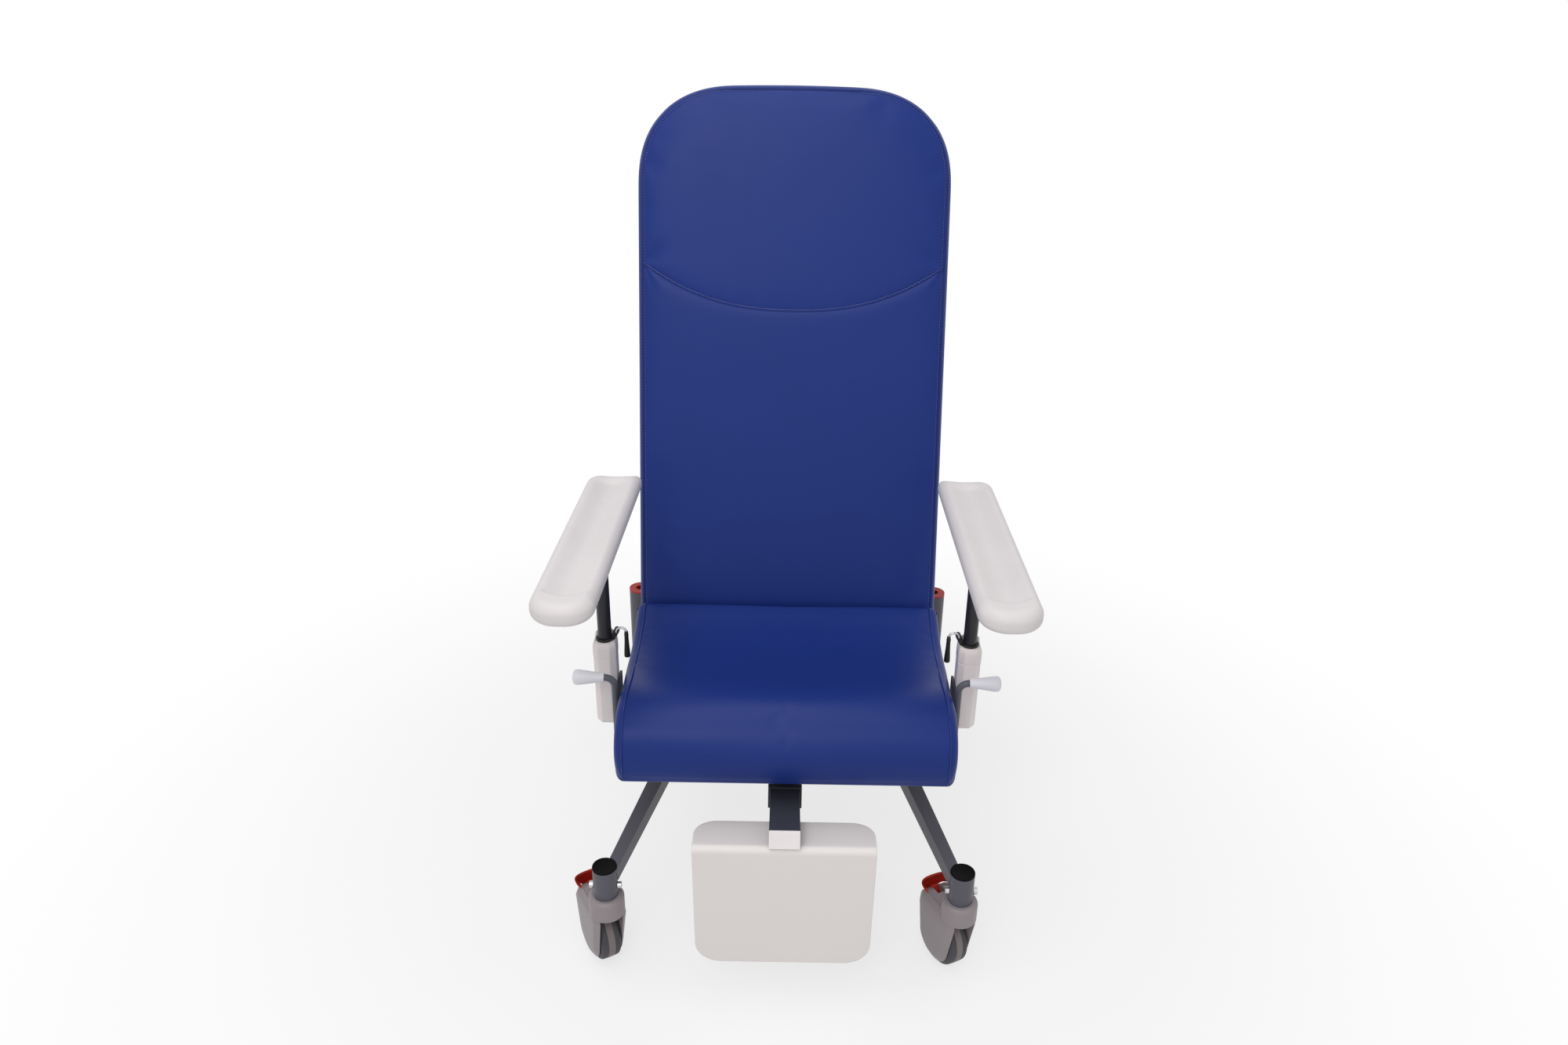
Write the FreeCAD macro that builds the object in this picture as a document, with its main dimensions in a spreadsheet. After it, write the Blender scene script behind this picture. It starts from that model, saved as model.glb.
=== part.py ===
"""Mobile treatment recliner on four swivel casters.

Millimetres. +Z is up, the sitter faces -Y, and +X is on the right of someone who looks
at the front. The origin is on the floor, under the middle of the whole chair.
Left and right in the names are those of that onlooker.
"""
import FreeCAD, Part
import math
import os
import re

import Sketcher

SIZES = {
    # Clearances that the fits share
    "running_gap": 0.05,
    "thrust_gap": 0.3,
    "weld_gap": 0.1,
    "seat_gap": 0.3,
    # Caster wheel
    "wheel_diameter": 100,
    "tread_width": 36,
    "tread_chamfer": 6,
    "tyre_thickness": 11,
    "axle_diameter": 12,
    # Caster housing
    "caster_trail": 35,
    "front_left_yaw": 30,
    "front_right_yaw": 26,
    "rear_caster_yaw": 0,
    "wheel_side_gap": 1.5,
    "wheel_slot_gap": 3,
    "shell_thickness": 9.5,
    "shell_inset": 5,
    "collar_diameter": 59,
    "collar_height": 37,
    "collar_rise": 55,
    "stem_diameter": 18,
    "stem_depth": 45,
    "stem_insert": 38,
    # Brake pedal
    "pedal_pivot_offset": 23,
    "pedal_pivot_rise": 3,
    "pedal_pin_diameter": 5,
    "pedal_pin_length": 38,
    "housing_back_radius": 24,
    "pedal_gap": 1.5,
    "pedal_thickness": 6,
    "pedal_width": 46,
    "pedal_start": 12,
    "pedal_sweep": 72,
    "pedal_arm_width": 14,
    "pedal_slot_gap": 0.4,
    # Caster posts
    "front_half_track": 290,
    "front_caster_forward": 316,
    "rear_half_track": 306,
    "rear_caster_back": 345,
    "front_post_diameter": 40,
    "rear_post_diameter": 45,
    "post_wall": 2.5,
    "front_post_length": 54.7,
    "rear_post_length": 206.7,
    "cap_thickness": 3,
    "cap_depth": 8,
    "bush_flange": 3,
    "bush_depth": 37,
    "pole_bore": 18.2,
    "bolt_diameter": 8,
    "bolt_rise": 18,
    "bolt_head_diameter": 12,
    "bolt_head_height": 6,
    # Base beam and legs
    "beam_overhang": 2.5,
    "beam_depth": 40,
    "beam_height": 50,
    "beam_front": -3,
    "tube_wall": 2.5,
    "leg_root_inset": 58,
    "leg_root_width": 30,
    "leg_root_depth": 30,
    "leg_tip_inset": 11,
    "leg_tip_drop": 14,
    "leg_tip_width": 20,
    "leg_tip_depth": 25,
    "rear_leg_root_inset": 30,
    "rear_leg_width": 30,
    "rear_leg_depth": 40,
    # Seat frame
    "rail_x": 215,
    "rail_width": 25,
    "rail_height": 40,
    "rail_bottom": 362,
    "rail_front": 273,
    "rail_tail": 2,
    "column_depth": 36,
    "column_height": 57,
    "cross_tube_size": 25,
    "front_cross_forward": 168,
    "rear_cross_back": 67,
    "pan_thickness": 12,
    "pan_inset": 20,
    "pan_forward": 286,
    "pan_hinge_gap": 95,
    # Backrest hinge
    "hinge_back": 125,
    "hinge_rise": 18,
    "hinge_lug_radius": 20,
    "hinge_lug_thickness": 6,
    "hinge_bolt_diameter": 12,
    "hinge_head_diameter": 20,
    "hinge_head_height": 7,
    "hinge_side_gap": 3,
    "back_angle": 15,
    "recline_range": 45,
    # Upholstery
    "cushion_width": 530,
    "seat_rear_thickness": 69,
    "seat_dip_thickness": 61,
    "seat_roll_thickness": 83,
    "seat_nose_overhang": 44,
    "seat_nose_rise": 4,
    "seat_roll_drop": 36,
    "seat_crown": 7,
    "seat_side_inset": 12,
    "seat_back_gap": 5,
    "back_thickness": 62,
    "back_top": 943,
    "back_foot": 5,
    "back_corner_radius": 150,
    "back_crown": 8,
    "back_edge_round": 18,
    # Backrest frame
    "upright_size": 25,
    "upright_top": 740,
    "upright_foot": 20,
    "panel_thickness": 9.5,
    "panel_inset": 14,
    "upper_tube_height": 600,
    "lever_arm": 95,
    "lever_thickness": 8,
    "lever_width": 24,
    "lever_pin_diameter": 10,
    "lever_pin_length": 24,
    # Gas spring
    "gas_x": 70,
    "gas_diameter": 28,
    "gas_length": 170,
    "gas_eye_diameter": 22,
    "gas_eye_width": 12,
    "gas_pin_diameter": 8,
    "gas_lug_thickness": 5,
    "gas_rod_diameter": 10,
    "gas_rod_overlap": 50,
    "gas_bore_depth": 145,
    "gas_valve_diameter": 6,
    "fork_cheek": 6,
    "fork_side_gap": 1,
    "fork_depth": 32,
    "fork_base": 8,
    "fork_reach": 20,
    "open_pivot_slack": 4.5,
    # Release bar
    "release_forward": 218,
    "release_rise": 20,
    "release_rod_diameter": 11,
    "release_bend_radius": 16,
    "release_side_gap": 2.5,
    "release_riser": 127,
    "release_finger_width": 8,
    "release_throw": 17,
    "release_bush_diameter": 18,
    "release_bush_overhang": 2,
    "grip_length": 50,
    "grip_nose": 6,
    "grip_thin_diameter": 15,
    "grip_thick_diameter": 25,
    "grip_nose_diameter": 17,
    "grip_bore_depth": 36,
    # Arms
    "arm_side_gap": 12.5,
    "arm_forward": 153,
    "arm_post_diameter": 22,
    "arm_post_wall": 2,
    "arm_post_insert": 52,
    "sleeve_width": 37,
    "sleeve_depth": 42,
    "sleeve_chamfer": 9,
    "sleeve_top": 542,
    "sleeve_length": 154,
    "sleeve_bore_depth": 148,
    "sleeve_foot_round": 7,
    "arm_bush_diameter": 32,
    "arm_bush_height": 10,
    "lock_ear_width": 8,
    "lock_ear_height": 22,
    "lock_ear_reach": 25,
    "lock_wire_diameter": 4,
    "lock_pin_reach": 20,
    "lock_pin_height": 16,
    "lock_hook_radius": 8,
    "lock_grip_length": 48,
    "lock_grip_thin": 6,
    "lock_grip_thick": 10,
    "lock_play": 0.5,
    "bracket_plate": 4,
    "bracket_width": 36,
    "bracket_height": 24,
    "bracket_rise": 12,
    "bracket_plate_height": 96,
    "armrest_width": 90,
    "armrest_forward": 433,
    "armrest_back": 34,
    "armrest_bottom": 722,
    "armrest_thickness": 34,
    "armrest_front_round": 40,
    "armrest_outer_round": 25,
    "armrest_edge_round": 9,
    "armrest_socket": 15,
    "gutter_radius": 75,
    "gutter_depth": 8,
    "gutter_margin": 40,
    # Footrest
    "bar_width": 47,
    "bar_height": 30,
    "bar_wall": 2,
    "bar_length": 390,
    "bar_forward": 403,
    "bar_front_drop": 39,
    "bar_slope": 9,
    "plug_thickness": 4,
    "plug_depth": 12,
    "guide_gap": 0.4,
    "guide_wall": 3,
    "guide_start": 125,
    "hanger_width": 40,
    "plate_width": 280,
    "plate_length": 252,
    "plate_flange": 79,
    "plate_thickness": 4,
    "plate_tilt": 15,
    "plate_corner_radius": 38,
    "plate_flange_round": 20,
}

# Places and lengths that follow from the sizes above

FITS = {
    "collar_top": "wheel_diameter+collar_rise",
    "pedal_pivot_back": "caster_trail+pedal_pivot_offset",
    "pedal_pivot_height": "wheel_diameter+pedal_pivot_rise",
    "post_foot": "collar_top+thrust_gap",
    "front_post_top": "post_foot+front_post_length",
    "rear_post_top": "post_foot+rear_post_length",
    "bolt_height": "post_foot+bolt_rise",
    "beam_length": "2*rail_x+rail_width+2*beam_overhang",
    "beam_bottom": "rail_bottom-column_height-beam_height",
    "leg_root_x": "beam_length/2-leg_root_inset",
    "leg_tip_height": "front_post_top-leg_tip_drop",
    "rear_leg_root_x": "beam_length/2-rear_leg_root_inset",
    "rail_top": "rail_bottom+rail_height",
    "rail_back": "hinge_back+hinge_lug_radius+rail_tail",
    "pan_top": "rail_top+pan_thickness",
    "pan_width": "cushion_width-2*pan_inset",
    "pan_back": "hinge_back-pan_hinge_gap",
    "hinge_height": "rail_top+hinge_rise",
    "gas_height": "hinge_height-lever_arm*(1+cos(recline_range/2))/2",
    "gas_eye_y": "gas_eye_diameter/2+gas_lug_thickness-front_cross_forward",
    "release_height": "rail_bottom+release_rise",
    "release_leg_x": "cushion_width/2+release_side_gap+release_rod_diameter/2",
    "release_grip_height": "release_height+release_riser",
    "release_finger_length": "release_height-gas_height+gas_valve_diameter",
    "gas_valve_length": "gas_eye_y+release_forward-release_rod_diameter/2-release_throw",
    "arm_x": "cushion_width/2+arm_side_gap+sleeve_width/2",
    "bracket_bottom": "rail_bottom+bracket_rise",
    "bar_front_height": "rail_top-bar_front_drop",
}

V = FreeCAD.Vector
NO_TURN = "rotation(vector(0; 0; 1); 0)"
ALONG_X = "rotation(vector(1; 1; 1); 120)"
ALONG_Y = "rotation(vector(1; 1; 1); 240)"
SIDES = {"left": -1, "right": 1}

doc = FreeCAD.newDocument("TreatmentRecliner")
sheet = doc.addObject("Spreadsheet::Sheet", "Dims")
for row, (alias, size) in enumerate(SIZES.items(), start=1):
    sheet.set(f"A{row}", alias)
    sheet.set(f"B{row}", str(size))
    sheet.setAlias(f"B{row}", alias)
doc.recompute()

nodes = []


def linked(expression):
    """Write each size's name in an expression as a reference to its cell, and each fit as its formula."""
    def cell(found):
        name = found[0]
        if name in FITS:
            return f"({linked(FITS[name])})"
        return f"Dims.{name}" if name in SIZES else name

    return re.sub(r"[a-z][a-z_]*", cell, str(expression))


def number(expression):
    """Return the value of an expression on the sheet's sizes."""
    found = sheet.evalExpression(linked(expression))
    return float(getattr(found, "Value", found))


def bind(thing, **sizes):
    """Bind properties of a document object to expressions on the sheet."""
    for name, expression in sizes.items():
        thing.setExpression(name, linked(expression))
    return thing


def place(thing, at=(0, 0, 0), turn=NO_TURN):
    """Bind the place and the turn of a document object."""
    x, y, z = (linked(part) for part in at)
    thing.setExpression("Placement", f"placement(vector({x}; {y}; {z}); {linked(turn)})")
    return thing


def box(name, across, deep, high, at=(0, 0, 0), turn=NO_TURN):
    """A block from its lowest corner."""
    return place(bind(doc.addObject("Part::Box", name), Length=across, Width=deep, Height=high), at, turn)


def centred_box(name, across, deep, high, at=(0, 0, 0)):
    """A block whose base is centred on a point."""
    x, y, z = at
    return box(name, across, deep, high, (f"({x})-({across})/2", f"({y})-({deep})/2", z))


def rod(name, diameter, length, at=(0, 0, 0), turn=NO_TURN):
    """A round bar from the centre of its first end."""
    bar = doc.addObject("Part::Cylinder", name)
    return place(bind(bar, Radius=f"({diameter})/2", Height=length), at, turn)


def cross_rod(name, diameter, length, at):
    """A round bar along X, centred on a point."""
    x, y, z = at
    return rod(name, diameter, length, (f"({x})-({length})/2", y, z), ALONG_X)


def sector(name, radius, width, start, sweep, at):
    """A slice of a disc about X, counted from +Y towards +Z and centred across its width."""
    x, y, z = at
    disc = doc.addObject("Part::Cylinder", name)
    bind(disc, Radius=radius, Height=width, Angle=sweep)
    turn = f"{ALONG_X} * rotation(vector(0; 0; 1); {start})"
    return place(disc, (f"({x})-({width})/2", y, z), turn)


def fuse(name, *shapes):
    """One solid from shapes that meet."""
    joined = doc.addObject("Part::MultiFuse", name)
    joined.Shapes = list(shapes)
    return joined


def cut(name, base, *tools):
    """A shape with the tools taken out of it."""
    result = doc.addObject("Part::Cut", name)
    result.Base = base
    result.Tool = tools[0] if len(tools) == 1 else fuse(f"{name}_cuts", *tools)
    return result


def group(name, *shapes):
    """Like pieces that stay separate solids under one name."""
    together = doc.addObject("Part::Compound", name)
    together.Links = list(shapes)
    return together


def keep(thing, name):
    """Give a finished sub-part the name of its file."""
    thing.Label = name
    nodes.append(thing)
    return thing


def plane_of(body, role):
    return next(plane for plane in body.Origin.OriginFeatures if plane.Role == role)


def outline(body, name, role, points):
    """A closed sketch of straight lines whose corners are bound to expressions."""
    sketch = body.newObject("Sketcher::SketchObject", name)
    sketch.AttachmentSupport = [(plane_of(body, role), "")]
    sketch.MapMode = "FlatFace"
    corners = [V(number(x), number(y), 0) for x, y in points]
    count = len(corners)
    for i in range(count):
        sketch.addGeometry(Part.LineSegment(corners[i], corners[(i + 1) % count]))
    for i in range(count):
        sketch.addConstraint(Sketcher.Constraint("Coincident", i, 2, (i + 1) % count, 1))
    for i, (x, y) in enumerate(points):
        for way, expression, at in (("DistanceX", x, corners[i].x), ("DistanceY", y, corners[i].y)):
            index = sketch.addConstraint(Sketcher.Constraint(way, -1, 1, i, 1, at))
            sketch.setExpression(f"Constraints[{index}]", linked(expression))
    return sketch


def padded_outline(name, role, points, length, midplane=True):
    """A body padded from one straight-sided sketch."""
    body = doc.addObject("PartDesign::Body", name)
    sketch = outline(body, f"{name}_sketch", role, points)
    pad = body.newObject("PartDesign::Pad", f"{name}_pad")
    pad.Profile = sketch
    pad.Midplane = midplane
    bind(pad, Length=length)
    doc.recompute()
    return body


def round_edges(body, radius, chosen):
    """Fillet those edges of a body's last feature that a test on the edge picks."""
    base = body.Tip
    names = [f"Edge{i}" for i, edge in enumerate(base.Shape.Edges, start=1) if chosen(edge)]
    fillet = body.newObject("PartDesign::Fillet", f"{body.Name}_round")
    fillet.Base = (base, names)
    bind(fillet, Radius=radius)
    doc.recompute()
    return body


def along(edge, axis):
    """True for a straight edge that runs along an axis."""
    if edge.Curve.TypeId != "Part::GeomLine":
        return False
    return abs(edge.tangentAt(edge.FirstParameter).dot(axis)) > 0.999


def square_tube(name, across, deep, high, wall, open_axis):
    """A hollow block, open at both ends of one axis, from its lowest corner."""
    inside = {"X": across, "Y": deep, "Z": high}
    start = {"X": "0", "Y": "0", "Z": "0"}
    for axis in inside:
        if axis != open_axis:
            inside[axis] = f"({inside[axis]})-2*{wall}"
            start[axis] = wall
    outer = box(f"{name}_outer", across, deep, high)
    inner = box(f"{name}_inner", *inside.values(), tuple(start.values()))
    return cut(name, outer, inner)


# Casters: four alike, each a housing, an axle, a wheel of core and tyre, and a brake pedal

WHEEL_RADIUS = "wheel_diameter/2"
SHELL_RADIUS = "(wheel_diameter/2-shell_inset)"
SLOT_WIDTH = "(tread_width+2*wheel_side_gap)"
HOUSING_WIDTH = "(tread_width+2*wheel_side_gap+2*shell_thickness)"
CASTERS = {
    "front_left": ("-front_half_track", "-front_caster_forward", "front_left_yaw"),
    "front_right": ("front_half_track", "-front_caster_forward", "front_right_yaw"),
    "rear_left": ("-rear_half_track", "rear_caster_back", "rear_caster_yaw"),
    "rear_right": ("rear_half_track", "rear_caster_back", "rear_caster_yaw"),
}


def on_caster(thing, corner, back="0", height="0"):
    """Place a piece in its caster's own frame: back along the trail, and up."""
    x, y, yaw = CASTERS[corner]
    at = (f"{x}-({back})*sin({yaw})", f"{y}+({back})*cos({yaw})", height)
    return place(thing, at, f"rotation(vector(0; 0; 1); {yaw})")


def caster_housing(corner):
    """Two side shells joined over the wheel, and the round collar that turns on the stem."""
    name = f"caster_housing_{corner}"
    axle = ("0", "caster_trail", WHEEL_RADIUS)
    pivot = ("0", "pedal_pivot_back", "pedal_pivot_height")
    cheeks = padded_outline(f"{name}_cheeks", "YZ_Plane", [
        (f"caster_trail-{SHELL_RADIUS}", WHEEL_RADIUS),
        ("-collar_diameter/3", "collar_top-collar_height"),
        ("0", "pedal_pivot_height+housing_back_radius"),
        ("pedal_pivot_back", "pedal_pivot_height+housing_back_radius"),
        ("pedal_pivot_back+housing_back_radius", "pedal_pivot_height"),
        (f"caster_trail+{SHELL_RADIUS}", WHEEL_RADIUS),
    ], HOUSING_WIDTH)
    lower = cross_rod(f"{name}_lower", f"2*{SHELL_RADIUS}", HOUSING_WIDTH, axle)
    back = cross_rod(f"{name}_back", "2*housing_back_radius", HOUSING_WIDTH, pivot)
    collar = rod(f"{name}_collar", "collar_diameter", "collar_height", (0, 0, "collar_top-collar_height"))
    wheel_slot = cross_rod(f"{name}_slot", "wheel_diameter+2*wheel_slot_gap", SLOT_WIDTH, axle)
    reach = "(housing_back_radius+pedal_pin_diameter)"
    pedal_slot = centred_box(
        f"{name}_pedal_slot", "pedal_arm_width+2*pedal_slot_gap", f"{reach}+pedal_pin_diameter",
        f"{reach}+pedal_pin_diameter",
        (0, f"pedal_pivot_back+{reach}/2-pedal_pin_diameter/2", "pedal_pivot_height-pedal_pin_diameter"))
    stem_bore = rod(f"{name}_stem_bore", "stem_diameter+2*running_gap", "stem_depth+thrust_gap",
                    (0, 0, "collar_top-stem_depth-thrust_gap"))
    pin_bore = cross_rod(f"{name}_pin_bore", "pedal_pin_diameter+2*running_gap",
                         "pedal_pin_length+2*thrust_gap", pivot)
    axle_bore = cross_rod(f"{name}_axle_bore", "axle_diameter+2*running_gap", HOUSING_WIDTH, axle)
    solid = fuse(f"{name}_solid", cheeks, lower, back, collar)
    housing = cut(name, solid, wheel_slot, pedal_slot, stem_bore, pin_bore, axle_bore)
    return keep(on_caster(housing, corner), name)


def caster_wheel(corner):
    """A moulded core that runs on the axle, and the tyre round it."""
    core_radius = f"({WHEEL_RADIUS}-tyre_thickness)"
    core_name = f"wheel_core_{corner}"
    disc = cross_rod(f"{core_name}_disc", f"2*{core_radius}", "tread_width", (0, 0, 0))
    bore = cross_rod(f"{core_name}_bore", "axle_diameter+2*running_gap", "tread_width", (0, 0, 0))
    keep(on_caster(cut(core_name, disc, bore), corner, "caster_trail", WHEEL_RADIUS), core_name)
    tyre_name = f"wheel_tyre_{corner}"
    tyre = doc.addObject("PartDesign::Body", tyre_name)
    shoulder = "tread_width/2-tread_chamfer"
    section = outline(tyre, f"{tyre_name}_section", "XY_Plane", [
        ("-tread_width/2", core_radius),
        ("-tread_width/2", f"{WHEEL_RADIUS}-tread_chamfer"),
        (f"-({shoulder})", WHEEL_RADIUS),
        (shoulder, WHEEL_RADIUS),
        ("tread_width/2", f"{WHEEL_RADIUS}-tread_chamfer"),
        ("tread_width/2", core_radius),
    ])
    ring = tyre.newObject("PartDesign::Revolution", f"{tyre_name}_ring")
    ring.Profile = section
    ring.ReferenceAxis = (section, ["H_Axis"])
    ring.Angle = 360
    keep(on_caster(tyre, corner, "caster_trail", WHEEL_RADIUS), tyre_name)


def caster_pedal(corner):
    """A curved lip round the housing's back, on an arm that turns about a cross pin."""
    name = f"brake_pedal_{corner}"
    inner = "(housing_back_radius+pedal_gap)"
    middle = (0, 0, 0)
    lip = cut(f"{name}_lip",
              sector(f"{name}_lip_outer", f"{inner}+pedal_thickness", "pedal_width", "pedal_start",
                     "pedal_sweep", middle),
              cross_rod(f"{name}_lip_inner", f"2*{inner}", "pedal_width", middle))
    arm = sector(f"{name}_arm", f"{inner}+pedal_thickness/2", "pedal_arm_width",
                 "pedal_start+pedal_sweep/3", "pedal_sweep/2", middle)
    pin = cross_rod(f"{name}_pin", "pedal_pin_diameter", "pedal_pin_length", middle)
    pedal = fuse(name, lip, arm, pin)
    keep(on_caster(pedal, corner, "pedal_pivot_back", "pedal_pivot_height"), name)


for corner in CASTERS:
    caster_housing(corner)
    axle_bar = cross_rod(f"axle_bar_{corner}", "axle_diameter", HOUSING_WIDTH, (0, 0, 0))
    axle = group(f"axle_of_{corner}", axle_bar)
    keep(on_caster(axle, corner, "caster_trail", WHEEL_RADIUS), f"caster_axle_{corner}")
    caster_wheel(corner)
    caster_pedal(corner)


# Caster posts: tubes over the stems, held by a cross bolt, with caps in front and pole bushes behind

def post_bolt_hole(name, corner, diameter):
    x, y, _ = CASTERS[corner]
    length = f"{diameter}+2*bolt_head_height"
    return cross_rod(name, "bolt_diameter+2*running_gap", length, (x, y, "bolt_height"))


def caster_post(corner, diameter, top):
    x, y, _ = CASTERS[corner]
    name = f"post_{corner}"
    outer = rod(f"{name}_outer", diameter, f"{top}-post_foot", (x, y, "post_foot"))
    inner = rod(f"{name}_inner", f"{diameter}-2*post_wall", f"{top}-post_foot", (x, y, "post_foot"))
    return cut(name, outer, inner, post_bolt_hole(f"{name}_hole", corner, diameter))


def caster_stem(corner, diameter):
    x, y, _ = CASTERS[corner]
    name = f"stem_{corner}"
    spigot = rod(f"{name}_spigot", "stem_diameter", "stem_depth+thrust_gap", (x, y, "collar_top-stem_depth"))
    insert = rod(f"{name}_insert", f"{diameter}-2*post_wall-2*running_gap", "stem_insert",
                 (x, y, "post_foot"))
    hole = post_bolt_hole(f"{name}_hole", corner, diameter)
    return cut(name, fuse(f"{name}_solid", spigot, insert), hole)


def post_bolt(corner, diameter, inward):
    """A cross bolt with its round head on the inner side and its nut on the outer side."""
    x, y, _ = CASTERS[corner]
    name = f"post_bolt_{corner}"
    shank = cross_rod(f"{name}_shank", "bolt_diameter", f"{diameter}+2*weld_gap", (x, y, "bolt_height"))
    ends = []
    for end in (-1, 1):
        middle = f"{x}+{end}*({diameter}/2+weld_gap+bolt_head_height/2)"
        high = "bolt_head_height"
        ends.append(cross_rod(f"{name}_end", "bolt_head_diameter", high, (middle, y, "bolt_height")))
    socket_x = f"{x}+{inward}*({diameter}/2+weld_gap+0.75*bolt_head_height)"
    socket = cross_rod(f"{name}_socket", "bolt_diameter*0.75", "bolt_head_height/2",
                       (socket_x, y, "bolt_height"))
    return cut(name, fuse(f"{name}_solid", shank, *ends), socket)


def post_diameter(corner):
    return "front_post_diameter" if corner.startswith("front") else "rear_post_diameter"


def post_plug(corner, flange, depth):
    """A plug whose flange covers the tube's end and whose spigot sits in the tube."""
    x, y, _ = CASTERS[corner]
    diameter = post_diameter(corner)
    top = "front_post_top" if corner.startswith("front") else "rear_post_top"
    name = f"plug_{corner}"
    disc = rod(f"{name}_disc", diameter, flange, (x, y, top))
    spigot = rod(f"{name}_spigot", f"{diameter}-2*post_wall-2*running_gap", depth, (x, y, f"{top}-{depth}"))
    return fuse(name, disc, spigot)


def pole_bush(corner):
    x, y, _ = CASTERS[corner]
    bore = rod(f"pole_bore_{corner}", "pole_bore", "bush_depth+bush_flange",
               (x, y, "rear_post_top-bush_depth"))
    return cut(f"pole_bush_{corner}", post_plug(corner, "bush_flange", "bush_depth"), bore)


FRONT = ("front_left", "front_right")
REAR = ("rear_left", "rear_right")
keep(group("front_posts", *[caster_post(c, post_diameter(c), "front_post_top") for c in FRONT]),
     "front_caster_posts")
keep(group("rear_posts", *[caster_post(c, post_diameter(c), "rear_post_top") for c in REAR]),
     "rear_caster_posts")
keep(group("stems", *[caster_stem(c, post_diameter(c)) for c in CASTERS]), "caster_stems")
keep(group("bolts", *[post_bolt(c, post_diameter(c), 1 if "left" in c else -1) for c in CASTERS]),
     "post_bolts")
keep(group("caps", *[post_plug(c, "cap_thickness", "cap_depth") for c in FRONT]), "front_post_caps")
keep(group("pole_bushes", *[pole_bush(c) for c in REAR]), "pole_socket_bushes")


# Base: a cross beam under the seat, tapered front legs and level rear legs out to the posts

BEAM_MIDDLE = "(beam_front+beam_depth/2)"
BEAM_HEIGHT = "(beam_bottom+beam_height/2)"

beam = square_tube("cross_beam", "beam_length", "beam_depth", "beam_height", "tube_wall", "X")
keep(place(beam, ("-beam_length/2", "beam_front", "beam_bottom")), "base_cross_beam")


def beam_block(name):
    corner_at = ("-beam_length/2", "beam_front", "beam_bottom")
    return box(name, "beam_length", "beam_depth", "beam_height", corner_at)


def post_block(name, corner):
    """The room that a post takes up, with the weld gap round it."""
    x, y, _ = CASTERS[corner]
    return rod(name, f"{post_diameter(corner)}+2*weld_gap", "rear_post_top", (x, y, 0))


def tapered_bar(name, root, tip, root_size, tip_size, wall):
    """A four-sided bar from root to tip, its width level and its depth square to its run."""
    run = [f"(({b})-({a}))" for a, b in zip(root, tip)]
    level = f"hypot({run[0]}; {run[1]})"
    length = f"sqrt({run[0]}^2+{run[1]}^2+{run[2]}^2)"
    wedge = doc.addObject("Part::Wedge", name)
    bind(wedge, Ymin="0", Ymax=length,
         Xmin=f"-{root_size[0]}/2+{wall}", Xmax=f"{root_size[0]}/2-{wall}",
         Zmin=f"-{root_size[1]}/2+{wall}", Zmax=f"{root_size[1]}/2-{wall}",
         X2min=f"-{tip_size[0]}/2+{wall}", X2max=f"{tip_size[0]}/2-{wall}",
         Z2min=f"-{tip_size[1]}/2+{wall}", Z2max=f"{tip_size[1]}/2-{wall}")
    turn = (f"rotation(vector(0; 0; 1); -atan2({run[0]}; {run[1]}))"
            f" * rotation(vector(1; 0; 0); atan2({run[2]}; {level}))")
    return place(wedge, root, turn)


def leg(corner, side):
    """A hollow leg, trimmed to the beam's face and to its post's wall."""
    name = f"{corner}_leg"
    if corner in FRONT:
        root = (f"{side}*leg_root_x", BEAM_MIDDLE, BEAM_HEIGHT)
        tip = (f"{side}*(front_half_track-leg_tip_inset)", "-front_caster_forward", "leg_tip_height")
        sizes = (("leg_root_width", "leg_root_depth"), ("leg_tip_width", "leg_tip_depth"))
    else:
        root = (f"{side}*rear_leg_root_x", BEAM_MIDDLE, BEAM_HEIGHT)
        tip = (f"{side}*rear_half_track", "rear_caster_back", BEAM_HEIGHT)
        sizes = (("rear_leg_width", "rear_leg_depth"), ("rear_leg_width", "rear_leg_depth"))
    outer = tapered_bar(f"{name}_outer", root, tip, *sizes, "0")
    inner = tapered_bar(f"{name}_inner", root, tip, *sizes, "tube_wall")
    return cut(name, outer, inner, beam_block(f"{name}_beam"), post_block(f"{name}_post", corner))


keep(group("legs_front", *[leg(f"front_{s}", SIDES[s]) for s in SIDES]), "front_legs")
keep(group("legs_rear", *[leg(f"rear_{s}", SIDES[s]) for s in SIDES]), "rear_legs")


# Seat frame: columns on the beam, rails with hinge lugs, cross tubes, pan and cushion

def seat_column(side):
    return centred_box("seat_column", "rail_width", "column_depth", "rail_bottom-beam_bottom-beam_height",
                       (f"{side}*rail_x", BEAM_MIDDLE, "beam_bottom+beam_height"))


keep(group("columns", *[seat_column(SIDES[s]) for s in SIDES]), "seat_columns")


def seat_rail(side):
    """A rail with a plate lug at its back end that stands up to the backrest's hinge."""
    name = "seat_rail"
    tube = square_tube(f"{name}_tube", "rail_width", "rail_front+rail_back", "rail_height", "tube_wall", "Y")
    place(tube, (f"{side}*rail_x-rail_width/2", "-rail_front", "rail_bottom"))
    lug_x = f"{side}*(rail_x-rail_width/2+hinge_lug_thickness/2)"
    lug = centred_box(f"{name}_lug", "hinge_lug_thickness", "2*hinge_lug_radius", "hinge_height-rail_bottom",
                      (lug_x, "hinge_back", "rail_bottom"))
    hinge = (lug_x, "hinge_back", "hinge_height")
    eye = cross_rod(f"{name}_eye", "2*hinge_lug_radius", "hinge_lug_thickness", hinge)
    hole = cross_rod(f"{name}_hole", "hinge_bolt_diameter+2*running_gap", "2*hinge_lug_thickness", hinge)
    bush_hole = cross_rod(f"{name}_bush_hole", "release_bush_diameter+2*running_gap", "2*rail_width",
                          (f"{side}*rail_x", "-release_forward", "release_height"))
    return cut(name, fuse(f"{name}_solid", tube, lug, eye), hole, bush_hole)


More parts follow.
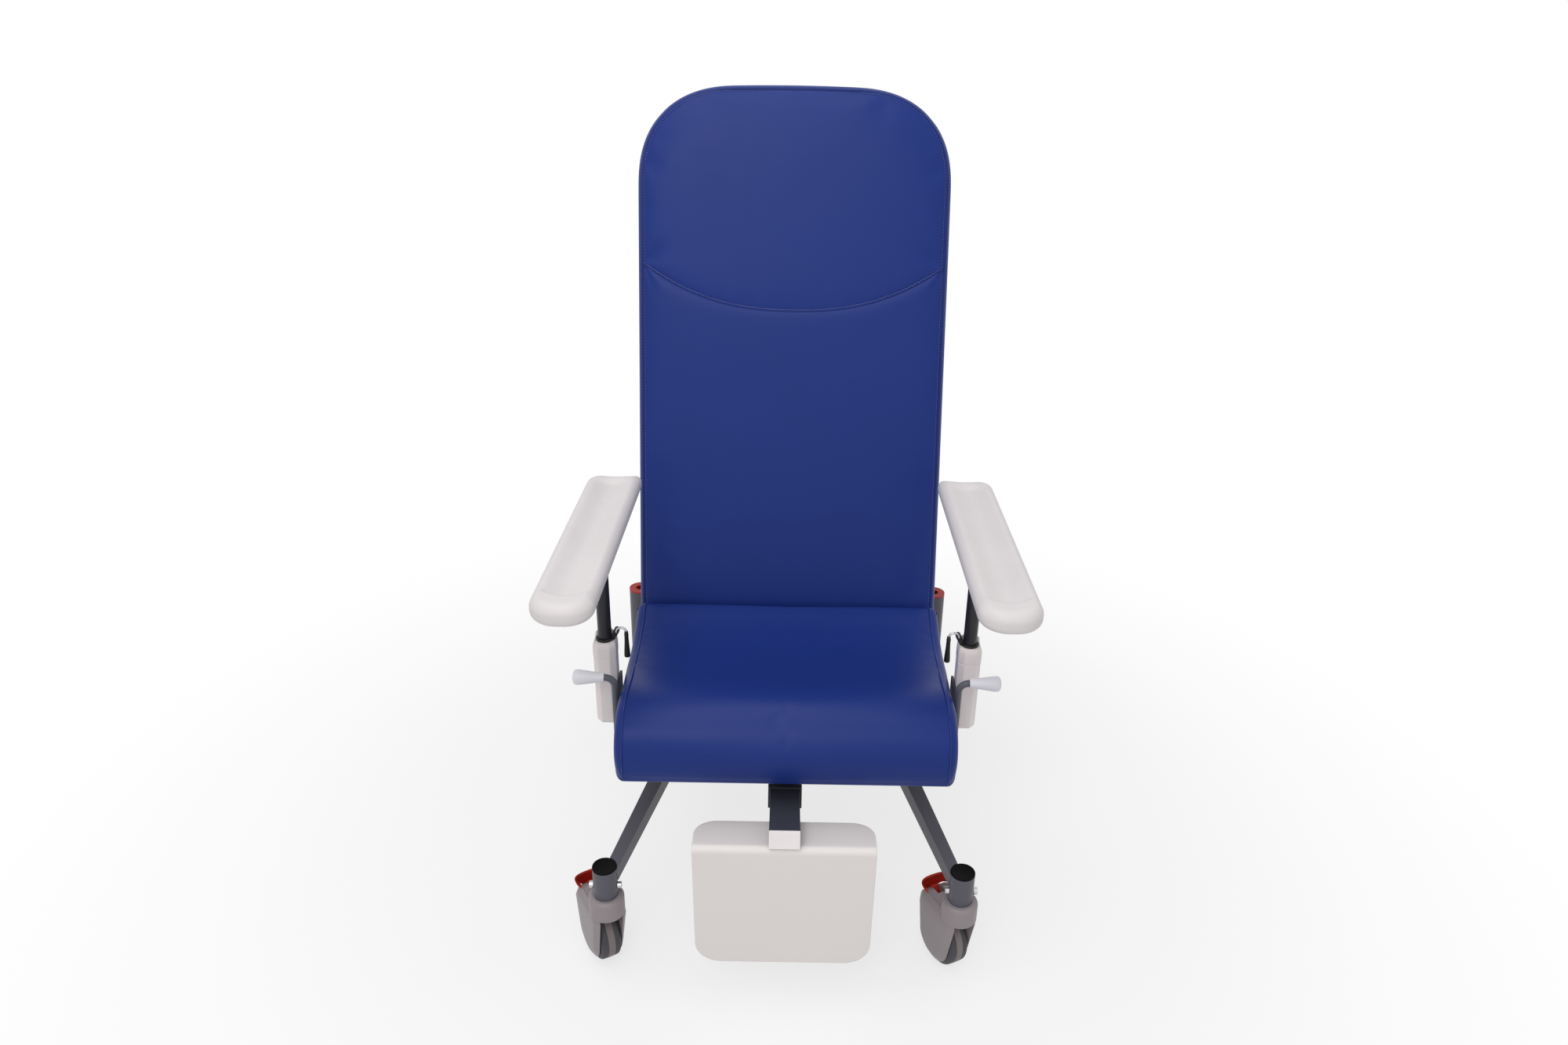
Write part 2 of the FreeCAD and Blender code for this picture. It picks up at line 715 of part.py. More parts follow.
keep(group("rails", *[seat_rail(SIDES[s]) for s in SIDES]), "seat_rails")

RAIL_INNER = "(rail_x-rail_width/2)"
CROSS_BOTTOM = "(rail_bottom+(rail_height-cross_tube_size)/2)"


def seat_cross_tube(name, middle):
    tube = square_tube(name, f"2*{RAIL_INNER}", "cross_tube_size", "cross_tube_size", "tube_wall", "X")
    return place(tube, (f"-{RAIL_INNER}", f"{middle}-cross_tube_size/2", CROSS_BOTTOM))


def gas_lug(side):
    """One of the two ears under the front cross tube that hold the gas spring's eye."""
    middle = f"gas_x+{side}*(gas_eye_width/2+weld_gap+gas_lug_thickness/2)"
    low = f"gas_height-gas_eye_diameter/2"
    return box("gas_lug", "gas_lug_thickness", f"gas_eye_y+front_cross_forward+gas_pin_diameter",
               f"{CROSS_BOTTOM}+tube_wall/2-({low})",
               (f"{middle}-gas_lug_thickness/2", "-front_cross_forward", low))


front_cross = seat_cross_tube("front_cross_tube", "-front_cross_forward")
rear_cross = seat_cross_tube("rear_cross_tube", "rear_cross_back")
gas_hole = cross_rod("gas_hole", "gas_pin_diameter+2*running_gap", "4*gas_eye_width",
                     ("gas_x", "gas_eye_y", "gas_height"))
front_cross = cut("front_cross", fuse("front_cross_lugs", front_cross, gas_lug(-1), gas_lug(1)), gas_hole)
keep(group("cross_tubes", front_cross, rear_cross), "seat_cross_tubes")

pan = box("pan", "pan_width", "pan_forward+pan_back", "pan_thickness",
          ("-pan_width/2", "-pan_forward", "rail_top"))
keep(group("pan_board", pan), "seat_pan")

BACK_PLANE = "(upright_size/2+panel_thickness+back_thickness)"


def back_face_y(height):
    """Where the backrest's front plane stands at a height, with the backrest upright."""
    angle = math.radians(number("back_angle"))
    depth = number(BACK_PLANE)
    rise = height - number("hinge_height") - depth * math.sin(angle)
    return number("hinge_back") - depth * math.cos(angle) + rise * math.tan(angle)


def seat_section(x, inset, crown):
    """The seat's closed side outline: dished top, rolled front edge, flat base and raked back end."""
    top = crown - inset
    base = number("pan_top") + number("seat_gap")
    nose = -number("pan_forward+seat_nose_overhang") + inset
    pan_edge = -number("pan_forward") - number("seat_gap")
    roll_low = number("pan_top-seat_roll_drop") + inset / 2
    rear_high = number("pan_top+seat_rear_thickness") + top
    rear_y = back_face_y(rear_high) - number("seat_back_gap")
    dip_y = rear_y + 0.30 * (nose - rear_y)
    join_y = rear_y + 0.58 * (nose - rear_y)
    roll_y = rear_y + 0.77 * (nose - rear_y)
    brow_y = rear_y + 0.91 * (nose - rear_y)
    dip = number("pan_top+seat_dip_thickness") + top
    roll = number("pan_top+seat_roll_thickness") + top
    nose_z = number("pan_top+seat_nose_rise")
    join = dip + 0.42 * (roll - dip)
    brow = nose_z + 0.82 * (roll - nose_z)
    chin_y = nose + 0.5 * (pan_edge - nose)
    corners = {
        "rear": V(x, rear_y, rear_high), "dip": V(x, dip_y, dip), "join": V(x, join_y, join),
        "roll": V(x, roll_y, roll), "brow": V(x, brow_y, brow),
        "cheek": V(x, nose + 0.16 * (brow_y - nose), nose_z + 0.5 * (brow - nose_z)),
        "nose": V(x, nose, nose_z),
        "jaw": V(x, nose + 0.26 * (chin_y - nose), roll_low + 0.3 * (nose_z - roll_low)),
        "chin": V(x, chin_y, roll_low),
        "tuck": V(x, pan_edge, roll_low), "step": V(x, pan_edge, base),
        "heel": V(x, back_face_y(base) - number("seat_back_gap"), base),
    }
    arcs = [("rear", "dip", "join"), ("join", "roll", "brow"), ("brow", "cheek", "nose"),
            ("nose", "jaw", "chin")]
    lines = [("chin", "tuck"), ("tuck", "step"), ("step", "heel"), ("heel", "rear")]
    edges = [Part.Arc(*[corners[p] for p in arc]).toShape() for arc in arcs]
    edges += [Part.LineSegment(*[corners[p] for p in line]).toShape() for line in lines]
    return Part.Wire(edges)


def seat_cushion():
    """A ruled loft across the width: rounded at both sides and crowned in the middle."""
    half = number("cushion_width") / 2
    inset = number("seat_side_inset")
    crown = number("seat_crown")
    stations = [(half, inset), (half - 0.12 * inset, 0.55 * inset), (half - 0.5 * inset, 0.2 * inset),
                (half - 1.3 * inset, 0)]
    sections = [(-x, deep, 0) for x, deep in stations]
    inner = half - 1.3 * inset
    for share in (-0.75, -0.4, 0, 0.4, 0.75):
        sections.append((share * inner, 0, crown * (1 - share * share)))
    sections += [(x, deep, 0) for x, deep in reversed(stations)]
    cushion = doc.addObject("Part::Feature", "seat_pad")
    cushion.Shape = Part.makeLoft([seat_section(*s) for s in sections], True, True)
    return cushion


keep(seat_cushion(), "seat_cushion")


# Backrest: two uprights on the hinge bolts, two cross tubes, a board and the tall cushion

UPRIGHT_X = "(rail_x-rail_width/2-hinge_side_gap-upright_size/2)"
BACK_TURN = "rotation(vector(1; 0; 0); -back_angle)"


def on_back(thing):
    """Place a piece that was drawn upright round the hinge axis."""
    return place(thing, (0, "hinge_back", "hinge_height"), BACK_TURN)


def hinge_bolt(side):
    """A bolt through the rail's lug and the upright, with head outside and nut inside."""
    name = "hinge_bolt"
    outer = "(rail_x-rail_width/2+hinge_lug_thickness+weld_gap)"
    inner = f"({UPRIGHT_X}-upright_size/2-hinge_side_gap)"
    at = ("hinge_back", "hinge_height")
    shank = cross_rod(f"{name}_shank", "hinge_bolt_diameter", f"{outer}-{inner}",
                      (f"{side}*({outer}+{inner})/2", *at))
    head = cross_rod(f"{name}_head", "hinge_head_diameter", "hinge_head_height",
                     (f"{side}*({outer}+hinge_head_height/2)", *at))
    nut = cross_rod(f"{name}_nut", "hinge_head_diameter", "hinge_head_height",
                    (f"{side}*({inner}-hinge_head_height/2)", *at))
    return fuse(name, shank, head, nut)


keep(group("hinge_bolts", *[hinge_bolt(SIDES[s]) for s in SIDES]), "back_hinge_bolts")


def back_upright(side):
    name = "upright"
    tube = square_tube(f"{name}_tube", "upright_size", "upright_size", "upright_top+upright_foot",
                       "tube_wall", "Z")
    place(tube, (f"{side}*{UPRIGHT_X}-upright_size/2", "-upright_size/2", "-upright_foot"))
    hole = cross_rod(f"{name}_hole", "hinge_bolt_diameter+2*running_gap", "2*upright_size",
                     (f"{side}*{UPRIGHT_X}", 0, 0))
    return cut(name, tube, hole)


keep(on_back(group("uprights", *[back_upright(SIDES[s]) for s in SIDES])), "back_uprights")

TUBE_REACH = f"({UPRIGHT_X}-upright_size/2)"
LEVER_ANGLE = "(recline_range/2+back_angle)"


def back_tube(name, low):
    tube = square_tube(name, f"2*{TUBE_REACH}", "upright_size", "upright_size", "tube_wall", "X")
    return place(tube, (f"-{TUBE_REACH}", "-upright_size/2", low))


def back_lever():
    """The plate on the lower tube that reaches down to the gas spring's fork, with its pin."""
    end = (f"lever_arm*sin({LEVER_ANGLE})", f"-lever_arm*cos({LEVER_ANGLE})")
    along_y = f"sin({LEVER_ANGLE})*lever_width/2"
    along_z = f"cos({LEVER_ANGLE})*lever_width/2"
    plate = padded_outline("lever_plate", "YZ_Plane", [
        (f"-{along_z}", f"-{along_y}"),
        (f"{along_z}", f"{along_y}"),
        (f"{end[0]}+{along_z}", f"{end[1]}+{along_y}"),
        (f"{end[0]}-{along_z}", f"{end[1]}-{along_y}"),
    ], "lever_thickness")
    place(plate, ("gas_x", 0, 0))
    eye = cross_rod("lever_eye", "lever_width", "lever_thickness", ("gas_x", *end))
    pin = cross_rod("lever_pin", "lever_pin_diameter", "lever_pin_length", ("gas_x", *end))
    bore = "upright_size-2*tube_wall"
    inside = box("lever_tube_bore", f"2*{TUBE_REACH}", bore, bore,
                 (f"-{TUBE_REACH}", f"-({bore})/2", f"-({bore})/2"))
    return cut("lever", fuse("lever_solid", plate, eye, pin), inside)


lower_tube = fuse("lower_tube_with_lever", back_tube("lower_tube", "-upright_size/2"), back_lever())
upper_tube = back_tube("upper_tube", "upper_tube_height")
keep(on_back(group("back_tubes", lower_tube, upper_tube)), "back_cross_tubes")

PANEL_HALF = "(cushion_width/2-panel_inset)"
panel = padded_outline("panel", "XZ_Plane", [
    (f"-{PANEL_HALF}", "back_foot+panel_inset"),
    (PANEL_HALF, "back_foot+panel_inset"),
    (PANEL_HALF, "back_top-panel_inset"),
    (f"-{PANEL_HALF}", "back_top-panel_inset"),
], "panel_thickness")
panel_top = number("back_top-panel_inset")
round_edges(panel, "back_corner_radius-panel_inset",
            lambda e: along(e, V(0, 1, 0)) and abs(e.CenterOfMass.z - panel_top) < 0.01)
panel_back = "(upright_size/2+panel_thickness/2)"
panel_at = (0, f"hinge_back-{panel_back}*cos(back_angle)", f"hinge_height+{panel_back}*sin(back_angle)")
keep(place(panel, panel_at, BACK_TURN), "back_panel")


def back_section(depth, inset):
    """The back's outline at one depth: straight sides, two round top corners, straight foot."""
    half = number("cushion_width") / 2 - inset
    top = number("back_top") - inset
    foot = number("back_foot") + inset
    radius = number("back_corner_radius") - inset
    bend = radius * (1 - math.sqrt(0.5))
    corners = [V(-half, depth, foot), V(half, depth, foot), V(half, depth, top - radius),
               V(half - bend, depth, top - bend), V(half - radius, depth, top),
               V(radius - half, depth, top), V(bend - half, depth, top - bend),
               V(-half, depth, top - radius)]
    edges = [Part.LineSegment(corners[0], corners[1]), Part.LineSegment(corners[1], corners[2]),
             Part.Arc(corners[2], corners[3], corners[4]), Part.LineSegment(corners[4], corners[5]),
             Part.Arc(corners[5], corners[6], corners[7]), Part.LineSegment(corners[7], corners[0])]
    return Part.Wire([edge.toShape() for edge in edges])


def back_cushion():
    """A ruled loft from the board to the front: drawn-in sides, round edge and a low crown."""
    rear = -number("upright_size/2+panel_thickness+seat_gap")
    face = -number(BACK_PLANE)
    edge = number("back_edge_round")
    crown = number("back_crown")
    corner = number("back_corner_radius")
    sections = [(rear, 0.45 * edge), (rear - 0.4 * edge, 0.1 * edge), (rear - edge, 0),
                (face + edge, 0), (face + 0.5 * edge, 0.12 * edge), (face + 0.15 * edge, 0.5 * edge),
                (face, edge), (face - 0.45 * crown, 0.3 * corner), (face - 0.8 * crown, 0.5 * corner),
                (face - crown, 0.8 * corner)]
    cushion = doc.addObject("Part::Feature", "back_pad")
    cushion.Shape = Part.makeLoft([back_section(*s) for s in sections], True, True)
    return on_back(cushion)


keep(back_cushion(), "back_cushion")


# Gas spring: the cylinder hangs from the front cross tube, the rod's fork holds the lever's pin

GAS_TAIL = f"(gas_eye_y+gas_eye_diameter/2)"
FORK_EYE = "(hinge_back+lever_arm*sin(recline_range/2))"
FORK_HALF = "(lever_thickness/2+fork_side_gap+fork_cheek)"


def gas_cylinder():
    name = "gas_tube"
    barrel = rod(f"{name}_barrel", "gas_diameter", "gas_length", ("gas_x", GAS_TAIL, "gas_height"), ALONG_Y)
    neck = box(f"{name}_neck", "gas_eye_width", "gas_eye_diameter/2+tube_wall", "gas_eye_diameter*0.8",
               ("gas_x-gas_eye_width/2", "gas_eye_y", f"gas_height-gas_eye_diameter*0.4"))
    eye = cross_rod(f"{name}_eye", "gas_eye_diameter", "gas_eye_width", ("gas_x", "gas_eye_y", "gas_height"))
    pin = cross_rod(f"{name}_pin", "gas_pin_diameter", "gas_eye_width+2*gas_lug_thickness+4*tube_wall",
                    ("gas_x", "gas_eye_y", "gas_height"))
    valve = rod(f"{name}_valve", "gas_valve_diameter", "gas_valve_length",
                ("gas_x", f"gas_eye_y-gas_valve_length", "gas_height"), ALONG_Y)
    bore = rod(f"{name}_bore", "gas_rod_diameter+2*running_gap", "gas_bore_depth",
               ("gas_x", f"{GAS_TAIL}+gas_length-gas_bore_depth", "gas_height"), ALONG_Y)
    return cut(name, fuse(f"{name}_solid", barrel, neck, eye, pin, valve), bore)


def gas_rod():
    """The piston rod and its fork, whose eye is larger than the pin by the open pivot's slack."""
    name = "piston_rod"
    start = f"({GAS_TAIL}+gas_length-gas_rod_overlap)"
    base_back = f"({FORK_EYE}-fork_reach)"
    shaft = rod(f"{name}_shaft", "gas_rod_diameter", f"{base_back}-{start}",
                ("gas_x", start, "gas_height"), ALONG_Y)
    low = f"gas_height-fork_depth/2"
    block = box(f"{name}_block", f"2*{FORK_HALF}", "fork_base+2*fork_reach", "fork_depth",
                (f"gas_x-{FORK_HALF}", f"{base_back}-fork_base", low))
    gap = box(f"{name}_gap", "lever_thickness+2*fork_side_gap", "3*fork_reach", "2*fork_depth",
              ("gas_x-lever_thickness/2-fork_side_gap", base_back, f"gas_height-fork_depth"))
    eye = cross_rod(f"{name}_eye", "lever_pin_diameter+2*open_pivot_slack", f"3*{FORK_HALF}",
                    ("gas_x", FORK_EYE, "gas_height"))
    return cut(name, fuse(f"{name}_solid", shaft, block), gap, eye)


keep(gas_cylinder(), "gas_spring_cylinder")
keep(gas_rod(), "gas_spring_rod")


# Release bar: a bent rod across under the seat that rises at both sides to a grip

RELEASE = ("-release_forward", "release_height")
UP_FROM_X = "rotation(vector(1; 0; 0); 90) * rotation(vector(0; 0; 1); -90)"
OUT_FROM_Z = "rotation(vector(1; 0; 0); 90) * rotation(vector(0; 0; 1); 90)"


def bend(name, at, turn):
    """A quarter bend of the release rod."""
    ring = doc.addObject("Part::Torus", name)
    bind(ring, Radius1="release_bend_radius", Radius2="release_rod_diameter/2", Angle3="90")
    return place(ring, at, turn)


def release_half():
    """The right half of the bar: shaft, bend up, riser, bend out and the stub in the grip."""
    y = "-release_forward"
    inner = "(release_leg_x-release_bend_radius)"
    outer = "(release_leg_x+release_bend_radius)"
    low = "(release_height+release_bend_radius)"
    high = "(release_grip_height-release_bend_radius)"
    shaft = rod("release_shaft_half", "release_rod_diameter", inner, (0, y, "release_height"), ALONG_X)
    bend_up = bend("release_bend_up", (inner, y, low), UP_FROM_X)
    riser = rod("release_riser", "release_rod_diameter", f"{high}-{low}", ("release_leg_x", y, low))
    bend_out = bend("release_bend_out", (outer, y, high), OUT_FROM_Z)
    stub = rod("release_stub", "release_rod_diameter", "grip_bore_depth-running_gap",
               (outer, y, "release_grip_height"), ALONG_X)
    return fuse("release_half", shaft, bend_up, riser, bend_out, stub)


right_half = release_half()
left_half = doc.addObject("Part::Mirroring", "release_left_half")
left_half.Source = right_half
left_half.Normal = V(1, 0, 0)
finger = box("release_finger", "release_finger_width", "release_rod_diameter", "release_finger_length",
             ("gas_x-release_finger_width/2", "-release_forward-release_rod_diameter/2",
              "release_height-release_finger_length"))
keep(fuse("release_rod", right_half, left_half, finger), "release_bar")


def release_bush(side):
    length = "rail_width+2*release_bush_overhang"
    middle = (f"{side}*rail_x", *RELEASE)
    body = cross_rod("release_bush_body", "release_bush_diameter", length, middle)
    bore = cross_rod("release_bush_bore", "release_rod_diameter+2*running_gap", length, middle)
    return cut("release_bush", body, bore)


keep(group("release_bushes", *[release_bush(SIDES[s]) for s in SIDES]), "release_bar_bushes")


def release_grip(side_name):
    """A cone grip that thickens outwards, with a blunt nose and a blind bore for the rod."""
    side = SIDES[side_name]
    name = f"release_grip_{side_name}"
    turn = "rotation(vector(0; 1; 0); 90)" if side > 0 else "rotation(vector(0; 1; 0); -90)"
    start = "(release_leg_x+release_bend_radius)"

    def spot(out):
        return (f"{side}*({start}+{out})", "-release_forward", "release_grip_height")

    cone = doc.addObject("Part::Cone", f"{name}_cone")
    bind(cone, Radius1="grip_thin_diameter/2", Radius2="grip_thick_diameter/2",
         Height="grip_length-grip_nose")
    place(cone, spot("0"), turn)
    nose = doc.addObject("Part::Cone", f"{name}_nose")
    bind(nose, Radius1="grip_thick_diameter/2", Radius2="grip_nose_diameter/2", Height="grip_nose")
    place(nose, spot("grip_length-grip_nose"), turn)
    bore = rod(f"{name}_bore", "release_rod_diameter+2*running_gap", "grip_bore_depth", spot("0"), turn)
    return keep(cut(name, fuse(f"{name}_solid", cone, nose), bore), name)


for side_name in SIDES:
    release_grip(side_name)


# Arms: brackets and sleeves on the seat rails, sliding posts, lock levers and gutter armrests

def arm_bracket(side):
    """A tube out from the rail that ends in an upright plate on the sleeve's inner face."""
    name = "arm_bracket"
    inner = "(rail_x+rail_width/2)"
    outer = "(arm_x-sleeve_width/2)"
    tube = square_tube(f"{name}_tube", f"{outer}-{inner}", "bracket_width", "bracket_height",
                       "tube_wall", "X")
    low_x = inner if side > 0 else f"(-{outer})"
    place(tube, (low_x, "-arm_forward-bracket_width/2", "bracket_bottom"))
    plate = centred_box(f"{name}_plate", "bracket_plate", "bracket_width",
                        "bracket_plate_height",
                        (f"{side}*({outer}-bracket_plate/2)", "-arm_forward", "bracket_bottom"))
    return fuse(name, tube, plate)


keep(group("brackets", *[arm_bracket(SIDES[s]) for s in SIDES]), "arm_brackets")


def arm_sleeve(side_name):
    """An eight-sided sleeve with a round-edged foot and a blind bore for the post."""
    side = SIDES[side_name]
    name = f"arm_sleeve_{side_name}"
    half_x = "sleeve_width/2"
    half_y = "sleeve_depth/2"
    chamfer = "sleeve_chamfer"
    body = padded_outline(f"{name}_body", "XY_Plane", [
        (f"-{half_x}+{chamfer}", f"-{half_y}"), (f"{half_x}-{chamfer}", f"-{half_y}"),
        (half_x, f"-{half_y}+{chamfer}"), (half_x, f"{half_y}-{chamfer}"),
        (f"{half_x}-{chamfer}", half_y), (f"-{half_x}+{chamfer}", half_y),
        (f"-{half_x}", f"{half_y}-{chamfer}"), (f"-{half_x}", f"-{half_y}+{chamfer}"),
    ], "sleeve_length", midplane=False)
    round_edges(body, "sleeve_foot_round", lambda e: e.BoundBox.ZMax < 0.01)
    bore = rod(f"{name}_bore", "arm_post_diameter+2*running_gap", "sleeve_bore_depth",
               (0, 0, "sleeve_length-sleeve_bore_depth"))
    sleeve = cut(name, body, bore)
    return keep(place(sleeve, (f"{side}*arm_x", "-arm_forward", "sleeve_top-sleeve_length")), name)


def arm_bush(side):
    """A ring round the post on the sleeve's top, with an ear that carries the lock lever."""
    name = "arm_bush"
    at = (f"{side}*arm_x", "-arm_forward", "sleeve_top")
    ring = rod(f"{name}_ring", "arm_bush_diameter", "arm_bush_height", at)
    ear_middle = f"{side}*(arm_x-lock_ear_reach/2)"
    ear = centred_box(f"{name}_ear", "lock_ear_reach", "lock_ear_width", "lock_ear_height",
                      (ear_middle, "-arm_forward", "sleeve_top"))
    bore = rod(f"{name}_bore", "arm_post_diameter+2*running_gap", "2*lock_ear_height",
               (f"{side}*arm_x", "-arm_forward", "sleeve_top"))
    pin_at = (f"{side}*(arm_x-lock_pin_reach)", "-arm_forward-lock_ear_width", "sleeve_top+lock_pin_height")
    pin_hole = rod(f"{name}_pin_hole", "lock_wire_diameter+2*running_gap", "2*lock_ear_width",
                   pin_at, ALONG_Y)
    return cut(name, fuse(f"{name}_solid", ring, ear), bore, pin_hole)


def arm_lock(side_name):
    """A wire hook on a pin through the ear, with a tapered grip that hangs from its far end."""
    side = SIDES[side_name]
    name = f"arm_lock_{side_name}"
    front = "(arm_forward+lock_ear_width/2+lock_play+lock_wire_diameter/2)"
    height = "(sleeve_top+lock_pin_height)"
    pin_x = f"{side}*(arm_x-lock_pin_reach)"
    pin = rod(f"{name}_pin", "lock_wire_diameter", "lock_ear_width+2*lock_play+lock_wire_diameter/2",
              (pin_x, f"-{front}", height), ALONG_Y)
    hook = doc.addObject("Part::Torus", f"{name}_hook")
    bind(hook, Radius1="lock_hook_radius", Radius2="lock_wire_diameter/2", Angle3="180")
    place(hook, (f"{side}*(arm_x-lock_pin_reach-lock_hook_radius)", f"-{front}", height),
          "rotation(vector(1; 0; 0); 90)")
    grip = doc.addObject("Part::Cone", f"{name}_grip")
    bind(grip, Radius1="lock_grip_thick/2", Radius2="lock_grip_thin/2", Height="lock_grip_length")
    place(grip, (f"{side}*(arm_x-lock_pin_reach-2*lock_hook_radius)", f"-{front}",
                 f"{height}-lock_grip_length+lock_wire_diameter/2"))
    return keep(fuse(name, pin, hook, grip), name)


def arm_post(side_name):
    """A round tube that slides in the sleeve and turns in the armrest's socket."""
    side = SIDES[side_name]
    name = f"arm_post_{side_name}"
    low = "(sleeve_top-arm_post_insert)"
    high = "(armrest_bottom+armrest_socket-thrust_gap)"
    at = (f"{side}*arm_x", "-arm_forward", low)
    outer = rod(f"{name}_outer", "arm_post_diameter", f"{high}-{low}", at)
    inner = rod(f"{name}_inner", "arm_post_diameter-2*arm_post_wall", f"{high}-{low}", at)
    return keep(cut(name, outer, inner), name)


def armrest(side_name):
    """A moulded gutter: round front end, one square rear corner inside, a long hollow on top."""
    side = SIDES[side_name]
    name = f"armrest_{side_name}"
    body = padded_outline(f"{name}_body", "XY_Plane", [
        ("-armrest_width/2", "-armrest_forward"), ("armrest_width/2", "-armrest_forward"),
        ("armrest_width/2", "armrest_back"), ("-armrest_width/2", "armrest_back"),
    ], "armrest_thickness", midplane=False)
    upright = V(0, 0, 1)
    round_edges(body, "armrest_front_round", lambda e: along(e, upright) and e.CenterOfMass.y < 0)
    round_edges(body, "armrest_outer_round",
                lambda e: along(e, upright) and e.CenterOfMass.y > 0 and e.CenterOfMass.x * side > 0
                and abs(e.CenterOfMass.y - number("armrest_back")) < 0.01)
    thick = number("armrest_thickness")
    round_edges(body, "armrest_edge_round", lambda e: e.BoundBox.ZMin > thick - 0.01)
    round_edges(body, "armrest_edge_round", lambda e: e.BoundBox.ZMax < 0.01)
    gutter_height = "armrest_thickness-gutter_depth+gutter_radius"
    gutter_front = "(gutter_margin-armrest_forward+gutter_radius/2)"
    trough = rod(f"{name}_trough", "2*gutter_radius", f"2*armrest_back-{gutter_front}",
                 (0, gutter_front, gutter_height), ALONG_Y)
    scoop = doc.addObject("Part::Sphere", f"{name}_scoop")
    place(bind(scoop, Radius="gutter_radius"), (0, gutter_front, gutter_height))
    socket = rod(f"{name}_socket", "arm_post_diameter+2*running_gap", "armrest_socket",
                 (0, "-arm_forward", 0))
    rest = cut(name, body, trough, scoop, socket)
    return keep(place(rest, (f"{side}*arm_x", 0, "armrest_bottom")), name)


keep(group("arm_bushes", *[arm_bush(SIDES[s]) for s in SIDES]), "arm_post_bushes")
for side_name in SIDES:
    arm_sleeve(side_name)
    arm_post(side_name)
    arm_lock(side_name)
    armrest(side_name)


# Footrest: a bar that slides out of a sloping guide, with a plug in its end and a bent plate under it

BAR_TURN = "rotation(vector(1; 0; 0); -bar_slope)"
GUIDE_WIDTH = "(bar_width+2*guide_gap+2*guide_wall)"
GUIDE_HEIGHT = "(bar_height+2*guide_gap+2*guide_wall)"


def on_bar(thing, back="0", up="0", across="0"):
    """Place a piece in the bar's sloping frame, from the top of its front end."""
    y = f"-bar_forward+({back})*cos(bar_slope)+({up})*sin(bar_slope)"
    z = f"bar_front_height-({back})*sin(bar_slope)+({up})*cos(bar_slope)"
    return place(thing, (across, y, z), BAR_TURN)


bar = square_tube("sliding_bar", "bar_width", "bar_length-plug_thickness", "bar_height", "bar_wall", "Y")
keep(on_bar(bar, "plug_thickness", "-bar_height", "-bar_width/2"), "footrest_bar")


def bar_plug():
    head = box("plug_head", "bar_width", "plug_thickness", "bar_height")
    on_bar(head, "0", "-bar_height", "-bar_width/2")
    inset = "(bar_wall+running_gap)"
    spigot = box("plug_spigot", f"bar_width-2*{inset}", "plug_depth+plug_thickness", f"bar_height-2*{inset}")
    on_bar(spigot, "0", f"{inset}-bar_height", f"{inset}-bar_width/2")
    return fuse("bar_plug", head, spigot)


keep(bar_plug(), "footrest_plug")


def bar_guide():
    """A square tube welded to the beam's face and hung from the front cross tube."""
    length = f"(beam_front+bar_forward)/cos(bar_slope)+{GUIDE_HEIGHT}"
    tube = square_tube("guide_tube", GUIDE_WIDTH, f"{length}-guide_start", GUIDE_HEIGHT, "guide_wall", "Y")
    on_bar(tube, "guide_start", "-bar_height-guide_gap-guide_wall", f"-{GUIDE_WIDTH}/2")
    hanger_back = "(bar_forward-front_cross_forward-cross_tube_size/2)/cos(bar_slope)"
    hanger = box("guide_hanger", "hanger_width", "cross_tube_size", "rail_height+cross_tube_size")
    on_bar(hanger, hanger_back, "guide_gap+guide_wall/2", "-hanger_width/2")
    ceiling = box("guide_ceiling", "2*hanger_width", "4*cross_tube_size", "3*rail_height",
                  ("-hanger_width", "-front_cross_forward-2*cross_tube_size", CROSS_BOTTOM))
    trimmed = cut("guide_hanger_trimmed", hanger, ceiling)
    beam_room = box("guide_beam_room", "beam_length", "4*beam_depth", "4*beam_height",
                    ("-beam_length/2", "beam_front", "beam_bottom-2*beam_height"))
    return cut("bar_guide", fuse("guide_solid", tube, trimmed), beam_room)


keep(bar_guide(), "footrest_guide")


def foot_plate():
    """A bent plate: a flange under the bar and a face that hangs down from its front end."""
    side_y = "plate_thickness*cos(plate_tilt)"
    side_z = "plate_thickness*sin(plate_tilt)"
    fold = "(plate_thickness+plate_thickness*sin(plate_tilt))/cos(plate_tilt)"
    down_y = "plate_length*sin(plate_tilt)"
    down_z = "plate_length*cos(plate_tilt)"
    body = padded_outline("foot_plate", "YZ_Plane", [
        ("plate_flange", "0"), ("0", "0"), (down_y, f"-{down_z}"),
        (f"{down_y}+{side_y}", f"{side_z}-{down_z}"),
        (f"{side_y}+{fold}*sin(plate_tilt)", "-plate_thickness"),
        ("plate_flange", "-plate_thickness"),
    ], "plate_width")
    half = number("plate_width") / 2
    flange = number("plate_flange")

    def across_end(edge):
        return abs(abs(edge.CenterOfMass.x) - half) < 0.01 and edge.Length < 1.01 * number("plate_thickness")

    low = -number(down_z) / 2
    round_edges(body, "plate_corner_radius", lambda e: across_end(e) and e.CenterOfMass.z < low)
    round_edges(body, "plate_flange_round", lambda e: across_end(e) and e.CenterOfMass.y > 0.9 * flange
                and e.CenterOfMass.z > low)
    return on_bar(body, "0", "-bar_height", "0")


keep(foot_plate(), "footplate")

# Check every object, then write each sub-part to its own file

doc.recompute()
for thing in doc.Objects:
    if "Invalid" in thing.State or "Error" in thing.State:
        raise RuntimeError(f"{thing.Label} failed: {thing.State}")
for thing in nodes:
    if thing.Shape.isNull() or not thing.Shape.isValid() or not thing.Shape.Solids:
        raise RuntimeError(f"{thing.Label} has no valid solid")

os.makedirs("parts", exist_ok=True)
for thing in nodes:
    thing.Shape.exportStep(f"parts/{thing.Label}.step")
print(len(nodes), "sub-parts written")
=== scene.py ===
import math

import bmesh
import bpy
import numpy as np
from mathutils import Matrix, Vector


